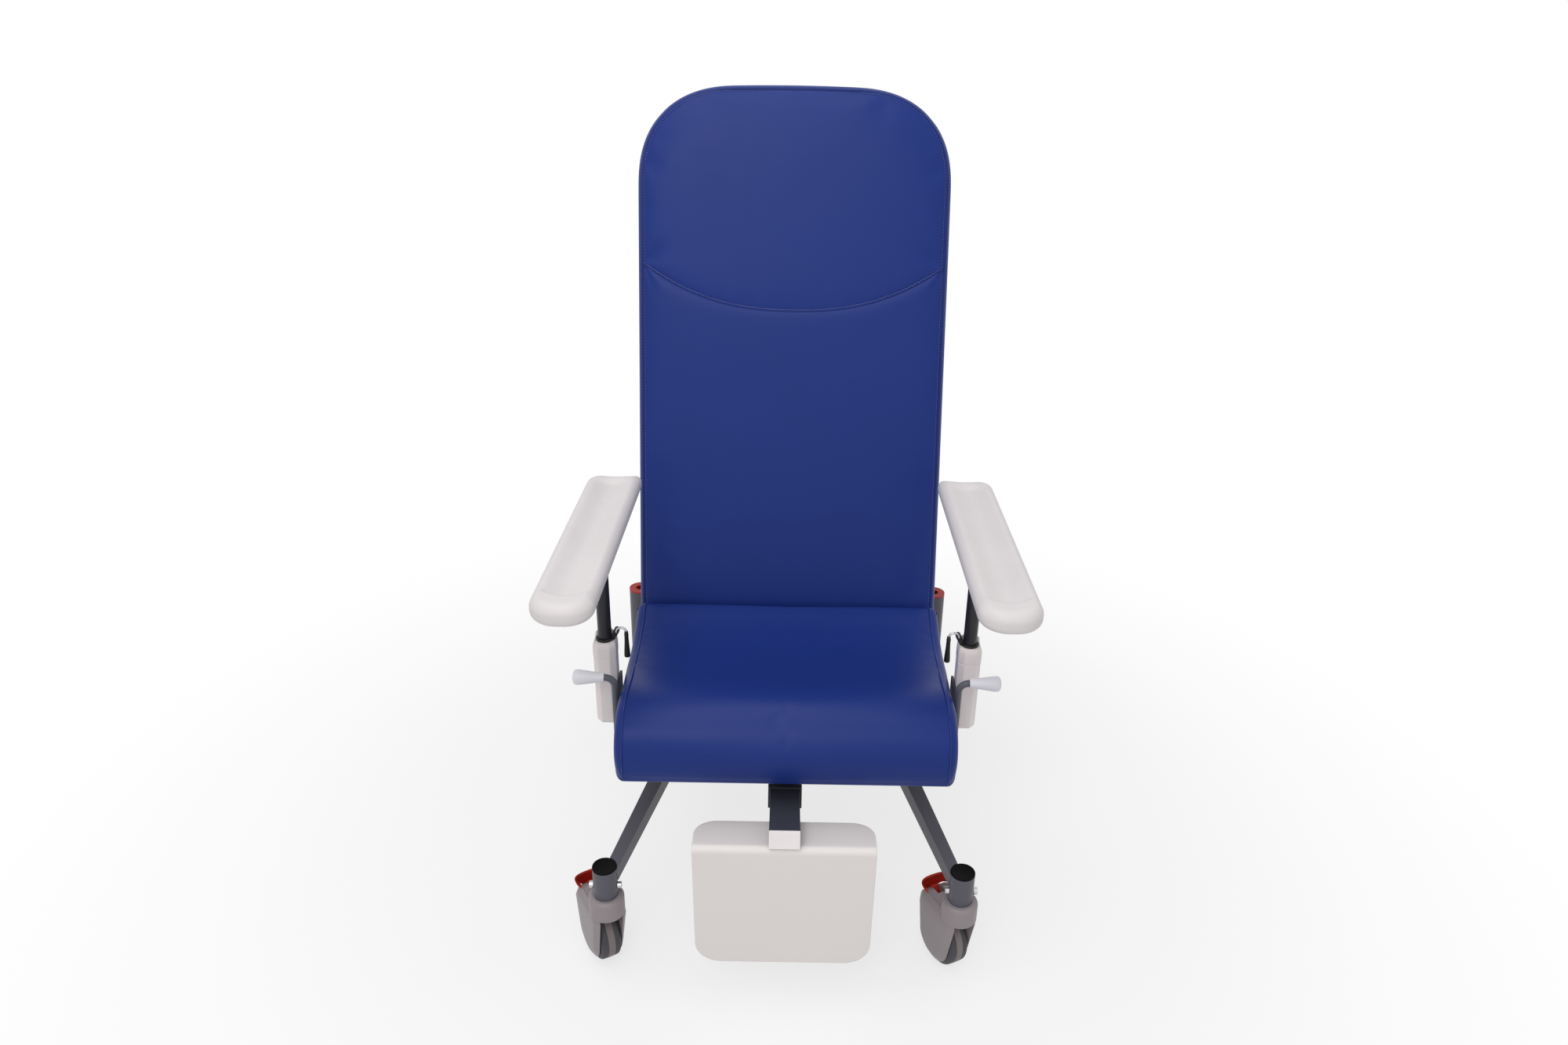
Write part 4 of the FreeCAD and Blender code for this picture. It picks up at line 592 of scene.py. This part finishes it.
# Seam values just inside each side: they sink the seam's groove into the swollen skin and are the share of
# painted shade along it in the vinyl's colour.
seat_seam_groove_and_shade = (0.1 * np.exp(-((depth_in - SEAT_SEAM) / 1.0) ** 2)[:, None] * open_air[None]).reshape(-1)
held = (np.abs(depth_in - SEAT_SEAM) < 0.5)[:, None] | (open_air < 0.35)[None] | (depth_in < 0.2)[:, None]
out3 = np.concatenate([np.zeros((len(seat_line), 1)), seat_out], 1)[None]
slack = np.where(held, 0, SLACK)[..., None] * out3
points, faces, first = closed(sheet(seat_grid - slack, False, True))
points = swollen(points, faces, held.reshape(-1)[first], 3.4)
limit = SEAT_HALF + 1.2 + side_bulge(points[:, 1])
points[:, 0] = np.clip(points[:, 0], -limit, limit)
seat_wide = np.broadcast_to(out3, seat_grid.shape).reshape(-1, 3)[first]
points -= 3.6 * seat_seam_groove_and_shade[first][:, None] * seat_wide
seat_moves = points - seat_grid.reshape(-1, 3)[first]


def upholstered(name, points, faces, seam, body, solid):
    """A cushion from its swollen points and faces, with one subdivision to round it."""
    mesh = outward(name, points, faces)
    # The seam values go with the mesh, and the vinyl reads them as painted shade in the seam grooves.
    mesh.attributes.new("seam", "FLOAT", "POINT").data.foreach_set("value", seam)
    mesh.shade_smooth()
    mesh.materials.append(blue_vinyl.material)
    thing = added(name, mesh)
    finer = thing.modifiers.new("finer", "SUBSURF")
    finer.levels = finer.render_levels = 1
    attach(thing, body)
    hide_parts(solid)


upholstered("seat_pad", points, faces, seat_seam_groove_and_shade[first], "base", "seat_cushion")
thread = moulded("blue_thread", (88, 99, 168), 0.6, 2500, 0.00004)
row = int(np.abs(depth_in - SEAT_SEAM).argmin())
visible = np.flatnonzero((seat_out[:, 1] > -0.3) & (seat_line[:, 0] < 30) & (seat_line[:, 1] > 385))
visible = visible[np.argsort(-seat_line[visible, 0])]
known = seat_grid.reshape(-1, 3)[first]
threads = []
for line in (row, len(depth_in) - 1 - row):
    base = seat_grid[line, visible]
    lifted = base + even_moves(base, known, seat_moves) + 0.5 * out3[0][visible]
    threads.append(stitches(lifted, out3[0][visible], 5.2, 3.6, 0.9))
piece("seat_stitches", joined(*threads), "base", thread, "blue_vinyl", crease=180)

# Back frame. Two square uprights on the hinge bolts, two cross tubes, and the lever that the gas
# spring holds, all welded and powder coated. The board is screwed to the uprights.
dressed(grey_coat, "back_uprights", "back_cross_tubes")
eased(1.6, "back_uprights")

# Back cushion. One tall foam pad under blue vinyl: a boxing strip round the side, a seam where it
# meets the face, and a stitched arc below the head. It is made as the seat is, in the back's frame.
BACK_HALF, BACK_FOOT, BACK_TOP, BACK_CORNER = 267.5, 5.5, 949.0, 170
BACK_FACE, BACK_REAR, FACE_ROUND, REAR_ROUND, BORDER = -84.0, -22.4, 19.0, 8.0, 8.5
HEAD_ARC, RIM_IN, SQUARER, LEAN = 574, 11, 2.5, math.radians(15)
reach = (BACK_HALF, BACK_FOOT, BACK_TOP, 14, BACK_CORNER, SQUARER)


def on_back(grid):
    """From the back's upright frame to the chair's: leaned about the hinge, then set at it."""
    x, y, z = np.moveaxis(grid, -1, 0)
    return np.stack([x, HINGE_Y + y * math.cos(LEAN) + z * math.sin(LEAN),
                     HINGE_Z - y * math.sin(LEAN) + z * math.cos(LEAN)], -1)


def depth_inside(across, along, half, low, high, low_round, high_round, power=2.0):
    """The distance inside a rectangle with rounded ends: to the nearest side, or in a corner the
    corner's radius less the distance from its centre. A power above 2 makes the corner squarer."""
    middle = (low + high) / 2
    radius = np.where(along > middle, high_round, low_round)
    out_x = np.abs(across) - (half - radius)
    out_y = np.abs(along - middle) - ((high - low) / 2 - radius)
    corner = (np.maximum(out_x, 0) ** power + np.maximum(out_y, 0) ** power) ** (1 / power)
    return radius - corner - np.minimum(np.maximum(out_x, out_y), 0)


def half_width(along, half, low, high, low_round, high_round, power=2.0):
    """Half the width at a height: full between the ends, and by the corner's curve in each."""
    up = np.clip(along - (high - high_round), 0, high_round)
    down = np.clip((low + low_round) - along, 0, low_round)
    corners = ((high_round, up), (low_round, down))
    return half - sum(size - (size ** power - out ** power) ** (1 / power) for size, out in corners)


def set_back(deep, along):
    """How far the face lies back near the top edge: most at the edge, fading over some 40 mm."""
    return 7 * np.exp(-deep / 40) * step((along - 760) / 140)


def head_seam(across):
    """The stitched arc's height: lowest in the middle, rising towards the sides."""
    return HEAD_ARC + 71 * np.abs(across / 250) ** 2.4


def face_at(x, up):
    """Points of the back's face from their places across and up: it rounds off at its edge, is
    crowned within, lies back near the top, and its top edge drops towards the corners."""
    deep = depth_inside(x, up, *reach)
    drop = 3.2 * (x / 150) ** 2 * np.clip((up - 700) / 243, 0, 1) ** 2
    face = BACK_FACE + rounding(deep, FACE_ROUND) - 7.0 * (1 - np.exp(-deep / 50)) + set_back(deep, up)
    return np.stack([x, face, up - drop], -1)


near_edge = np.array([0, 0.5, 1.3, 2.5, 4, 5.6, 6.9, 7.7, 8.3, 8.7, 9.3, 10.1, 11.4, 13.4, 16,
                      19.5, 24, 30, 38])
near_seam = np.array([-26, -19, -13, -9, -6, -4, -2.6, -1.6, -0.8, 0, 0.8, 1.6, 2.6, 4, 6, 9, 13, 19, 26])
ladder = np.concatenate([BACK_FOOT + near_edge, np.linspace(52, 540, 38), HEAD_ARC + near_seam,
                         np.linspace(610, 895, 26), (BACK_TOP - near_edge)[::-1]])
span = np.concatenate([near_edge, np.linspace(47, BACK_HALF, 22)]) / BACK_HALF
span = np.concatenate([span - 1, (1 - span)[-2::-1]])
up, share = ladder[:, None], span[None]
follow = step(1 - np.abs(up - HEAD_ARC) / 230)
up = up + follow * (head_seam(share * BACK_HALF * 0.999) - HEAD_ARC)
x = share * half_width(up, *reach)
deep = depth_inside(x, up, *reach)
front = face_at(x, up)
rear = np.stack([x, BACK_REAR - rounding(deep, REAR_ROUND), front[..., 2]], -1)


def border_of(grid):
    """The points along a grid's four sides, once round."""
    return np.concatenate([grid[0, :-1], grid[:-1, -1], grid[-1, :0:-1], grid[:0:-1, 0]])


def boxed(front, rear, steps):
    """Two grids with the same outline, and the strip that joins them along it."""
    share = np.linspace(0, 1, steps)[:, None, None]
    strip = border_of(front)[None] * (1 - share) + border_of(rear)[None] * share
    return joined(sheet(front), sheet(rear), sheet(strip, False, True))


back_skin = boxed(front, rear, 9)
count = front.shape[0] * front.shape[1]
head_gap = np.abs(up - head_seam(x))
# Seam values along the border seam and the head arc: they sink the seam's groove into the swollen face and
# are the share of painted shade along it in the vinyl's colour.
front_seam_groove_and_shade = np.maximum(0.6 * np.exp(-((deep - BORDER) / 1.1) ** 2),
                        0.2 * np.exp(-(head_gap / 1.2) ** 2) * (deep > BORDER))
back_seam_groove_and_shade = np.zeros(len(back_skin[0]))
back_seam_groove_and_shade[:count] = front_seam_groove_and_shade.reshape(-1)
sewn = np.ones(len(back_skin[0]), bool)
sewn[:count] = ((deep < BORDER + 0.6) | ((head_gap < 0.5) & (deep > BORDER))).reshape(-1)
limp = back_skin[0].copy()
limp[:count, 1] += np.where(sewn[:count], 0, SLACK)
points, faces, first = closed((limp, back_skin[1]))
points = swollen(points, faces, sewn[first], 4.0)
points[:, 1] += 2.4 * back_seam_groove_and_shade[first]
back_known = back_skin[0][first]
ahead = back_known[:, 1] < -60
face_known, face_moves = back_known[ahead], (points - back_known)[ahead]
upholstered("back_pad", on_back(points), faces, back_seam_groove_and_shade[first], "backrest", "back_cushion")


def face_stitches(x, up, lift, pitch, long, thick):
    """Stitches of a seam on the swollen face, from its places across and up, lifted off it."""
    base = face_at(x, up)
    line = base + even_moves(base, face_known, face_moves) - np.array([0, lift, 0])
    return stitches(line, np.broadcast_to([0.0, -1.0, 0.0], line.shape), pitch, long, thick)


arc_x = np.linspace(-250, 250, 400)
rim_top = BACK_TOP - RIM_IN
rim_up = np.concatenate([np.linspace(60, 770, 240), rim_top - (rim_top - 770) * np.linspace(1, 0, 160) ** 3])
rim_x = half_width(rim_up, BACK_HALF - RIM_IN, BACK_FOOT + RIM_IN, rim_top, 4, BACK_CORNER - RIM_IN, SQUARER)
points, quads = joined(
    face_stitches(arc_x, head_seam(arc_x) + 1.2, 0.6, 4.4, 3.7, 1.3),
    face_stitches(np.append(-rim_x, rim_x[::-1]), np.append(rim_up, rim_up[::-1]), 0.5, 5.2, 3.4, 0.8))
piece("back_stitches", (on_back(points), quads), "backrest", thread, "blue_vinyl", crease=180)

# Gas spring. A black tube hangs from the front cross tube; its bright rod ends in a fork that
# holds the pin of the back's lever.
black_coat = powder_coat("black_powder_coat", (46, 46, 52), 0.38)
bright_rod = Finish("polished_rod")
drawn = bright_rod.noise(500, 2, (1, 0.05, 1))
bright_rod.coat({"Base Color": bright_rod.blend(drawn, colour(196, 197, 200), colour(230, 231, 233)),
                 "Metallic": 1.0, "Roughness": 0.1 + 0.12 * drawn})
dressed(black_coat, "gas_spring_cylinder")
dressed(bright_rod, "gas_spring_rod")

# Release bar. One bent rod, coated dark grey, turns in two bushes in the rails; at each side it
# rises beside the seat and ends in a cone grip that is pressed on.
rod_coat = powder_coat("rod_powder_coat", (84, 86, 96), 0.34)
bush_black = moulded("bush_nylon", (24, 24, 26), 0.45)
grip_plastic = moulded("grip_plastic", (228, 226, 233), 0.36, 1200, 0.00004)
dressed(rod_coat, "release_bar")
dressed(bush_black, "release_bar_bushes")
grip_line = smooth_path(np.array([(2.0, 7.55), (14, 8.7), (28, 10.7), (38, 12.1), (43, 12.35), (46.6, 11.4),
                                  (48.9, 8.8), (49.8, 5.0), (50, 0)]), 6)
grip_line[:, 1] = np.clip(grip_line[:, 1], 0, 12.4)
grip_line = np.concatenate([[(36, 5.62), (0.3, 5.62), (0.1, 6.6), (0.6, 7.3)], grip_line])
for name, side in SIDES.items():
    grip = set_at(turned(grip_line, (0, 0, 0), 0, 48), (side * 289, -218, 509), side)
    piece(f"grip_{name}", grip, "release", grip_plastic, "light_grip", [f"release_grip_{name}"])

# Arm brackets and sleeves. A bracket on each rail carries a moulded sleeve with bevelled corners,
# a cap with a band under it, and a wall that stands up behind the post.
ARM_X, ARM_Y = 296, -153
sleeve_plastic = moulded("sleeve_plastic", (238, 229, 228), 0.38, 1000, 0.00005)
dressed(black_coat, "arm_brackets")
eased(1.0, "arm_brackets")
tip = 2.5 / math.cos(math.pi / 8)
lean_in = (tip * math.sin(math.pi / 8), tip * math.cos(math.pi / 8))
sleeve_discs = [(sx * cx, sy * cy, 2.5) for sx in (-1, 1) for sy in (-1, 1)
                for cx, cy in ((9.5 - lean_in[0], 21 - lean_in[1]), (18.5 - lean_in[1], 12 - lean_in[0]))]
SLEEVE_EDGE, SLEEVE_OUT = belt(sleeve_discs, 96)


def sleeve():
    """The section carried up rings of (height, inset, lift behind, shrink), then down a round bore:
    a rounded foot, straight sides, a groove under the cap, and a wall behind the post."""
    rings = np.array([(388.2, 2, 0, 0.3), (388.7, 2, 0, 0.14), (390.4, 1.4, 0, 0.04), (393.2, 0.5, 0, 0),
                      (396.5, 0, 0, 0), (455, 0, 0, 0), (513.2, 0, 0, 0), (514, 0.9, 0, 0),
                      (515.4, 0.9, 0, 0), (516.2, -0.5, 0, 0), (524, -0.5, 0, 0), (533, -0.4, 1, 0),
                      (538.5, 0.4, 1, 0), (540.9, 1.6, 1, 0), (541.7, 1.9, 1, 0.06), (541.2, 1.9, 1, 0.12),
                      (541.7, 1.9, 0, 0.14)])
    height, inset, lift, shrink = rings.T[:, :, None]
    behind = 9 * step((SLEEVE_OUT[:, 1] - 0.15) / 0.7)
    edge = (SLEEVE_EDGE - inset[..., None] * SLEEVE_OUT) * (1 - shrink[..., None])
    body = np.concatenate([edge, (height + lift * behind)[..., None]], -1)
    turn = np.arctan2(SLEEVE_EDGE[:, 1], SLEEVE_EDGE[:, 0])
    bore = np.stack([np.cos(turn), np.sin(turn)], -1) * 11.35
    inner = [np.column_stack([bore, np.full(len(bore), at)]) for at in (541.7, 388.2)]
    return sheet(np.concatenate([body, np.stack(inner)]), True, True)


for name, side in SIDES.items():
    piece(f"sleeve_{name}", set_at(sleeve(), (side * ARM_X, ARM_Y, 0)), "base", sleeve_plastic,
          "white_paint", [f"arm_sleeve_{name}"])

# Arm posts and collars. A dark coated tube slides in each sleeve, guided by a black collar whose
# ear carries the lock lever.
LOCK_X, LOCK_Y, LOCK_Z = 276, -159.5, 558
post_coat = powder_coat("post_powder_coat", (37, 35, 42), 0.36)
dressed(post_coat, "arm_post_left", "arm_post_right")
collar_ring = [(541.9, 11.4), (541.9, 14.6), (544.6, 14.6), (545.6, 13.6), (545.6, 11.4)]
ear_edge, _ = belt([(ARM_X - LOCK_X, LOCK_Z, 4.4), (12.5, 544.6, 2.6), (15, 543.6, 1.6)], 40)
collars = []
for side in SIDES.values():
    collars.append(turned(collar_ring, (side * ARM_X, ARM_Y, 0), 2, ring=True))
    collars.append(set_at(slab(ear_edge, 4.2, 1), (side * ARM_X, ARM_Y, 0), -side))
piece("post_collars", joined(*collars), "base", bush_black, "black_plastic", ["arm_post_bushes"])

# Lock levers. A bent zinc wire goes through the collar's ear, over and down, and ends in a black
# moulded grip that is wider at its foot.
wire_zinc = Finish("bright_wire")
wire_zinc.coat({"Base Color": colour(196, 196, 200), "Metallic": 1.0,
                "Roughness": 0.25 + 0.2 * wire_zinc.noise(400, 3)})
lever_black = moulded("lever_plastic", (22, 22, 24), 0.4, 900, 0.00006)
BOW = 8


def tube(path, thick, steps=14):
    """A round tube along a path: at each point, a circle in the plane square to the path, closed
    at both ends."""
    ahead = unit(np.gradient(path, axis=0))
    beside = unit(np.cross(ahead, np.array([0.3, 0.5, 0.81])))
    above = np.cross(ahead, beside)
    turn = np.linspace(0, 2 * np.pi, steps, endpoint=False)[None, :, None]
    ring = thick / 2 * (np.cos(turn) * beside[:, None] + np.sin(turn) * above[:, None])
    grid = path[:, None] + ring
    ends = [np.broadcast_to(path[k], grid[:1].shape) for k in (0, -1)]
    return sheet(np.concatenate([ends[0], grid, ends[1]]), False, True)


lever_profile = np.array([(560, 0), (560, 2.4), (559, 3.0), (556, 3.1), (554, 3.6), (550, 3.3), (540, 3.6),
                          (528, 4.3), (518, 4.9), (514, 5.0), (512.6, 4.5), (512.1, 3.2), (512.1, 0)])
for name, side in SIDES.items():
    hook = np.linspace(0, np.pi, 17)
    over = side * (LOCK_X - BOW + BOW * np.cos(hook))
    bow = np.stack([over, 0 * hook + LOCK_Y, LOCK_Z + BOW * np.sin(hook)], -1)
    pin = np.array([(side * LOCK_X, y, LOCK_Z) for y in (-148.6, -153, -156.5, -158.6)])
    wire = smooth_path(np.concatenate([pin, bow]), 4)
    piece(f"lock_wire_{name}", tube(wire, 3.9), f"arm_lock_{name}", wire_zinc, "zinc")
    grip = turned(lever_profile, (side * (LOCK_X - 2 * BOW), LOCK_Y, 0), 2, 28)
    piece(f"lock_grip_{name}", grip, f"arm_lock_{name}", lever_black, "black_plastic", [f"arm_lock_{name}"])

# Armrests. Self-skinned foam mouldings, each with a long shallow gutter closed in front by a
# raised round lip. The front end is round, and the inner rear corner comes to a point.
rest_foam = Finish("armrest_skin")
mottle = rest_foam.noise(9, 4)
rest_foam.coat({"Base Color": rest_foam.blend(mottle, colour(216, 210, 210), colour(228, 223, 223)),
                "Roughness": 0.42 + 0.14 * mottle, "Specular IOR Level": 0.4,
                "Normal": rest_foam.relief(rest_foam.noise(520, 3), 0.00012, 0.5)})
REST_HALF, REST_FRONT, REST_BACK, REST_LOW, REST_HIGH = 44.8, -432.8, 33.8, 722.2, 756.0


def armrest():
    """Top and underside over one outline, whose rear outer corner is rounder than the inner one.
    The edge falls by a quarter circle; the gutter is a cosine valley between its two end arcs."""
    ends = np.array([0, 0.4, 1.2, 2.6, 4.6, 7.2, 10.4, 14, 18, 22.5, 27.5, 33])
    along = np.concatenate([REST_FRONT + ends, np.linspace(-396, -372, 12), np.linspace(-366, -6, 50),
                            (REST_BACK - ends)[::-1]])[:, None]
    share = np.concatenate([ends, np.linspace(36, REST_HALF, 4)]) / REST_HALF
    share = np.concatenate([share - 1, (1 - share)[-2::-1]])[None]
    outer = step((share + 0.02) / 0.04)
    corners = [(REST_HALF, REST_FRONT, REST_BACK, 40, rear) for rear in (4, 26)]
    widths = [half_width(along, *corner) for corner in corners]
    across = share * (widths[0] * (1 - outer) + widths[1] * outer)
    depths = [depth_inside(across, along, *corner) for corner in corners]
    deep = np.maximum(depths[0] * (1 - outer) + depths[1] * outer, 0)
    valley = np.cos(np.pi / 2 * np.clip(across / 37, -1, 1)) ** 1.6
    start = REST_FRONT + 37 + 15 * (across / 34) ** 2
    finish = REST_BACK - 16 - 8 * (across / 34) ** 2
    valley = valley * step((along - start) / 8) * (1 - 0.8 * step((along - finish + 16) / 16))
    lip = 1.2 * (1 - step((along - start + 6) / 14))
    top = REST_HIGH - 1.2 - rounding(deep, 15.0) - 10.5 * valley + lip * step(deep / 12)
    low = REST_LOW + rounding(deep, 13.0)
    shape = np.broadcast_to(along, across.shape)
    return boxed(np.stack([across, shape, top], -1), np.stack([across, shape, low], -1), 4)


for name, side, toe in (("left", -1, 1.6), ("right", 1, 0.6)):
    rest = armrest()
    across, along, up = rest[0].T
    sine, cosine = math.sin(math.radians(toe)), math.cos(math.radians(toe))
    placed = np.stack([side * (ARM_X + 3 * toe + across * cosine - (along - ARM_Y) * sine),
                       ARM_Y + across * sine + (along - ARM_Y) * cosine, up], -1)
    piece(f"rest_{name}", (placed, rest[1]), f"armrest_{name}", rest_foam, "armrest_foam",
          [f"armrest_{name}"], crease=60)

# Footrest bar. A dark square tube slides in a sloping guide under the seat, and a pale plug closes
# its front end.
bar_coat = powder_coat("bar_powder_coat", (58, 60, 70), 0.4)
plug_plastic = moulded("plug_plastic", (247, 241, 241), 0.4)
dressed(bar_coat, "footrest_bar", "footrest_guide")
dressed(plug_plastic, "footrest_plug")
eased(1.8, "footrest_bar")
eased(0.8, "footrest_plug")

# Footplate. One sheet of white laminate with rounded corners, bent along a line: its flange is
# screwed under the bar and its face hangs down in front.
laminate = Finish("white_laminate")
haze = laminate.noise(4, 3)
laminate.coat({"Base Color": laminate.blend(haze, colour(232, 225, 223), colour(239, 233, 231)),
               "Roughness": 0.4 + 0.12 * haze, "Specular IOR Level": 0.4,
               "Normal": laminate.relief(laminate.noise(800, 2), 0.00006, 0.5)})
PLATE_HALF, PLATE_BEND, PLATE_FLANGE, PLATE_FACE, PLATE_REAR = 139.8, 8.0, 66.0, 246.0, 79
BAR_Y, BAR_Z, BAR_DEPTH, BAR_TILT = -403, 363, 30, math.radians(9)


def plate():
    """A flat outline with rounded corners, rolled along a line: straight, a bend of 105 degrees
    with an even radius, straight again. Thickness is laid off square to that line."""
    bend = math.radians(105)
    length = PLATE_FLANGE + PLATE_BEND * bend + PLATE_FACE
    ends = np.array([0, 0.15, 0.5, 1.0, 1.5, 4, 8, 13, 19, 26, 34])
    run = np.concatenate([ends, np.linspace(40, PLATE_FLANGE, 4),
                          PLATE_FLANGE + PLATE_BEND * np.linspace(0, bend, 13)[1:],
                          np.linspace(PLATE_FLANGE + PLATE_BEND * bend + 8, length - 42, 12),
                          (length - ends)[::-1]])[:, None]
    share = np.concatenate([ends[:6], np.linspace(9, PLATE_HALF, 14)]) / PLATE_HALF
    share = np.concatenate([share - 1, (1 - share)[-2::-1]])[None]
    shape = (PLATE_HALF, 0, length, 36, 42)
    across = share * half_width(run, *shape)
    deep = np.maximum(depth_inside(across, run, *shape), 0)
    turn = np.clip((run - PLATE_FLANGE) / PLATE_BEND, 0, bend)
    rest = np.clip(run - PLATE_FLANGE - PLATE_BEND * bend, 0, None)
    back = PLATE_REAR - np.minimum(run, PLATE_FLANGE) - PLATE_BEND * np.sin(turn) - rest * math.cos(bend)
    high = -2 - PLATE_BEND * (1 - np.cos(turn)) - rest * math.sin(bend)
    half = 1.95 - rounding(deep, 1.4)
    sine, cosine = math.sin(BAR_TILT), math.cos(BAR_TILT)
    faces = []
    for side in (1, -1):
        b = back - side * half * np.sin(turn)
        h = high + side * half * np.cos(turn) - BAR_DEPTH
        faces.append(np.stack([across, BAR_Y + b * cosine + h * sine, BAR_Z - b * sine + h * cosine], -1))
    return boxed(*faces, 2)


piece("plate", plate(), "footrest", laminate, "white_plate", ["footplate"], crease=50)

# Studio. A pale floor that fades to white away from the chair, a white surround, a wide soft lamp
# overhead and a weaker one in front, and the camera at the photographer's place.
floor_mesh = bpy.data.meshes.new("floor")
floor_mesh.from_pydata([(-60, -60, 0), (60, -60, 0), (60, 60, 0), (-60, 60, 0)], [], [(0, 1, 2, 3)])
floor = added("floor", floor_mesh)
pale = Finish("pale_floor")
pale.coat({"Base Color": (0.88, 0.88, 0.88, 1), "Roughness": 0.9, "Specular IOR Level": 0.1})


def in_sight(finish):
    """1 where the camera looks at a surface, straight, by reflection or through glass, and else 0."""
    rays = [finish.node("ShaderNodeLightPath", {}, {}, f"Is {name} Ray")
            for name in ("Camera", "Glossy", "Transmission")]
    either = rays[0].math("MAXIMUM", rays[0], rays[1])
    return either.math("MAXIMUM", either, rays[2])


away = pale.node("ShaderNodeVectorMath", {"operation": "LENGTH"}, {0: pale.spot()}, "Value")
glow = pale.node("ShaderNodeEmission", {}, {"Color": (1, 1, 1, 1), "Strength": 1.0})
share = in_sight(pale) * (0.7 + 0.3 * away.between(0.5, 1.6))
mixed = pale.node("ShaderNodeMixShader", {}, {0: share, 1: Value(pale, pale.shader.outputs[0]), 2: glow})
pale.feed(pale.tree.nodes["Material Output"].inputs, {"Surface": mixed})
floor_mesh.materials.append(pale.material)

around = Finish("white_surround", "worlds", "Background")
around.coat({"Color": (1, 1, 1, 1), "Strength": 0.56})
white = around.node("ShaderNodeBackground", {}, {"Color": (1, 1, 1, 1), "Strength": 1.0})
shown = {0: in_sight(around), 1: Value(around, around.shader.outputs[0]), 2: white}
around.feed(around.tree.nodes["World Output"].inputs,
            {"Surface": around.node("ShaderNodeMixShader", {}, shown)})
bpy.context.scene.world = around.material


def soft_lamp(name, at, towards, size, power):
    """A square lamp at a place, turned to face another."""
    lamp = bpy.data.lights.new(name, "AREA")
    lamp.shape, lamp.size, lamp.energy = "SQUARE", size, power
    aim = (Vector(towards) - Vector(at)).to_track_quat("-Z", "Y").to_matrix().to_4x4()
    added(name, lamp).matrix_world = Matrix.Translation(at) @ aim


soft_lamp("overhead_lamp", (-0.4, -0.6, 3.0), (0, 0, 0.5), 1.6, 19)
soft_lamp("front_lamp", (-0.5, -2.5, 2.7), (0, 0, 0.5), 1.3, 21)

lens = bpy.data.cameras.new("camera")
lens.lens, lens.sensor_width = 26.0, 36.0
camera = added("camera", lens)
PITCH, ROLL = math.radians(25.25), math.radians(0.95)
ahead = Vector((0, math.cos(PITCH), -math.sin(PITCH)))
aim = ahead.to_track_quat("-Z", "Y").to_matrix().to_4x4() @ Matrix.Rotation(ROLL, 4, "Z")
camera.matrix_world = Matrix.Translation((-0.0087, -1.733, 1.5)) @ aim
bpy.context.scene.camera = camera
bpy.context.scene.view_settings.view_transform = "Standard"
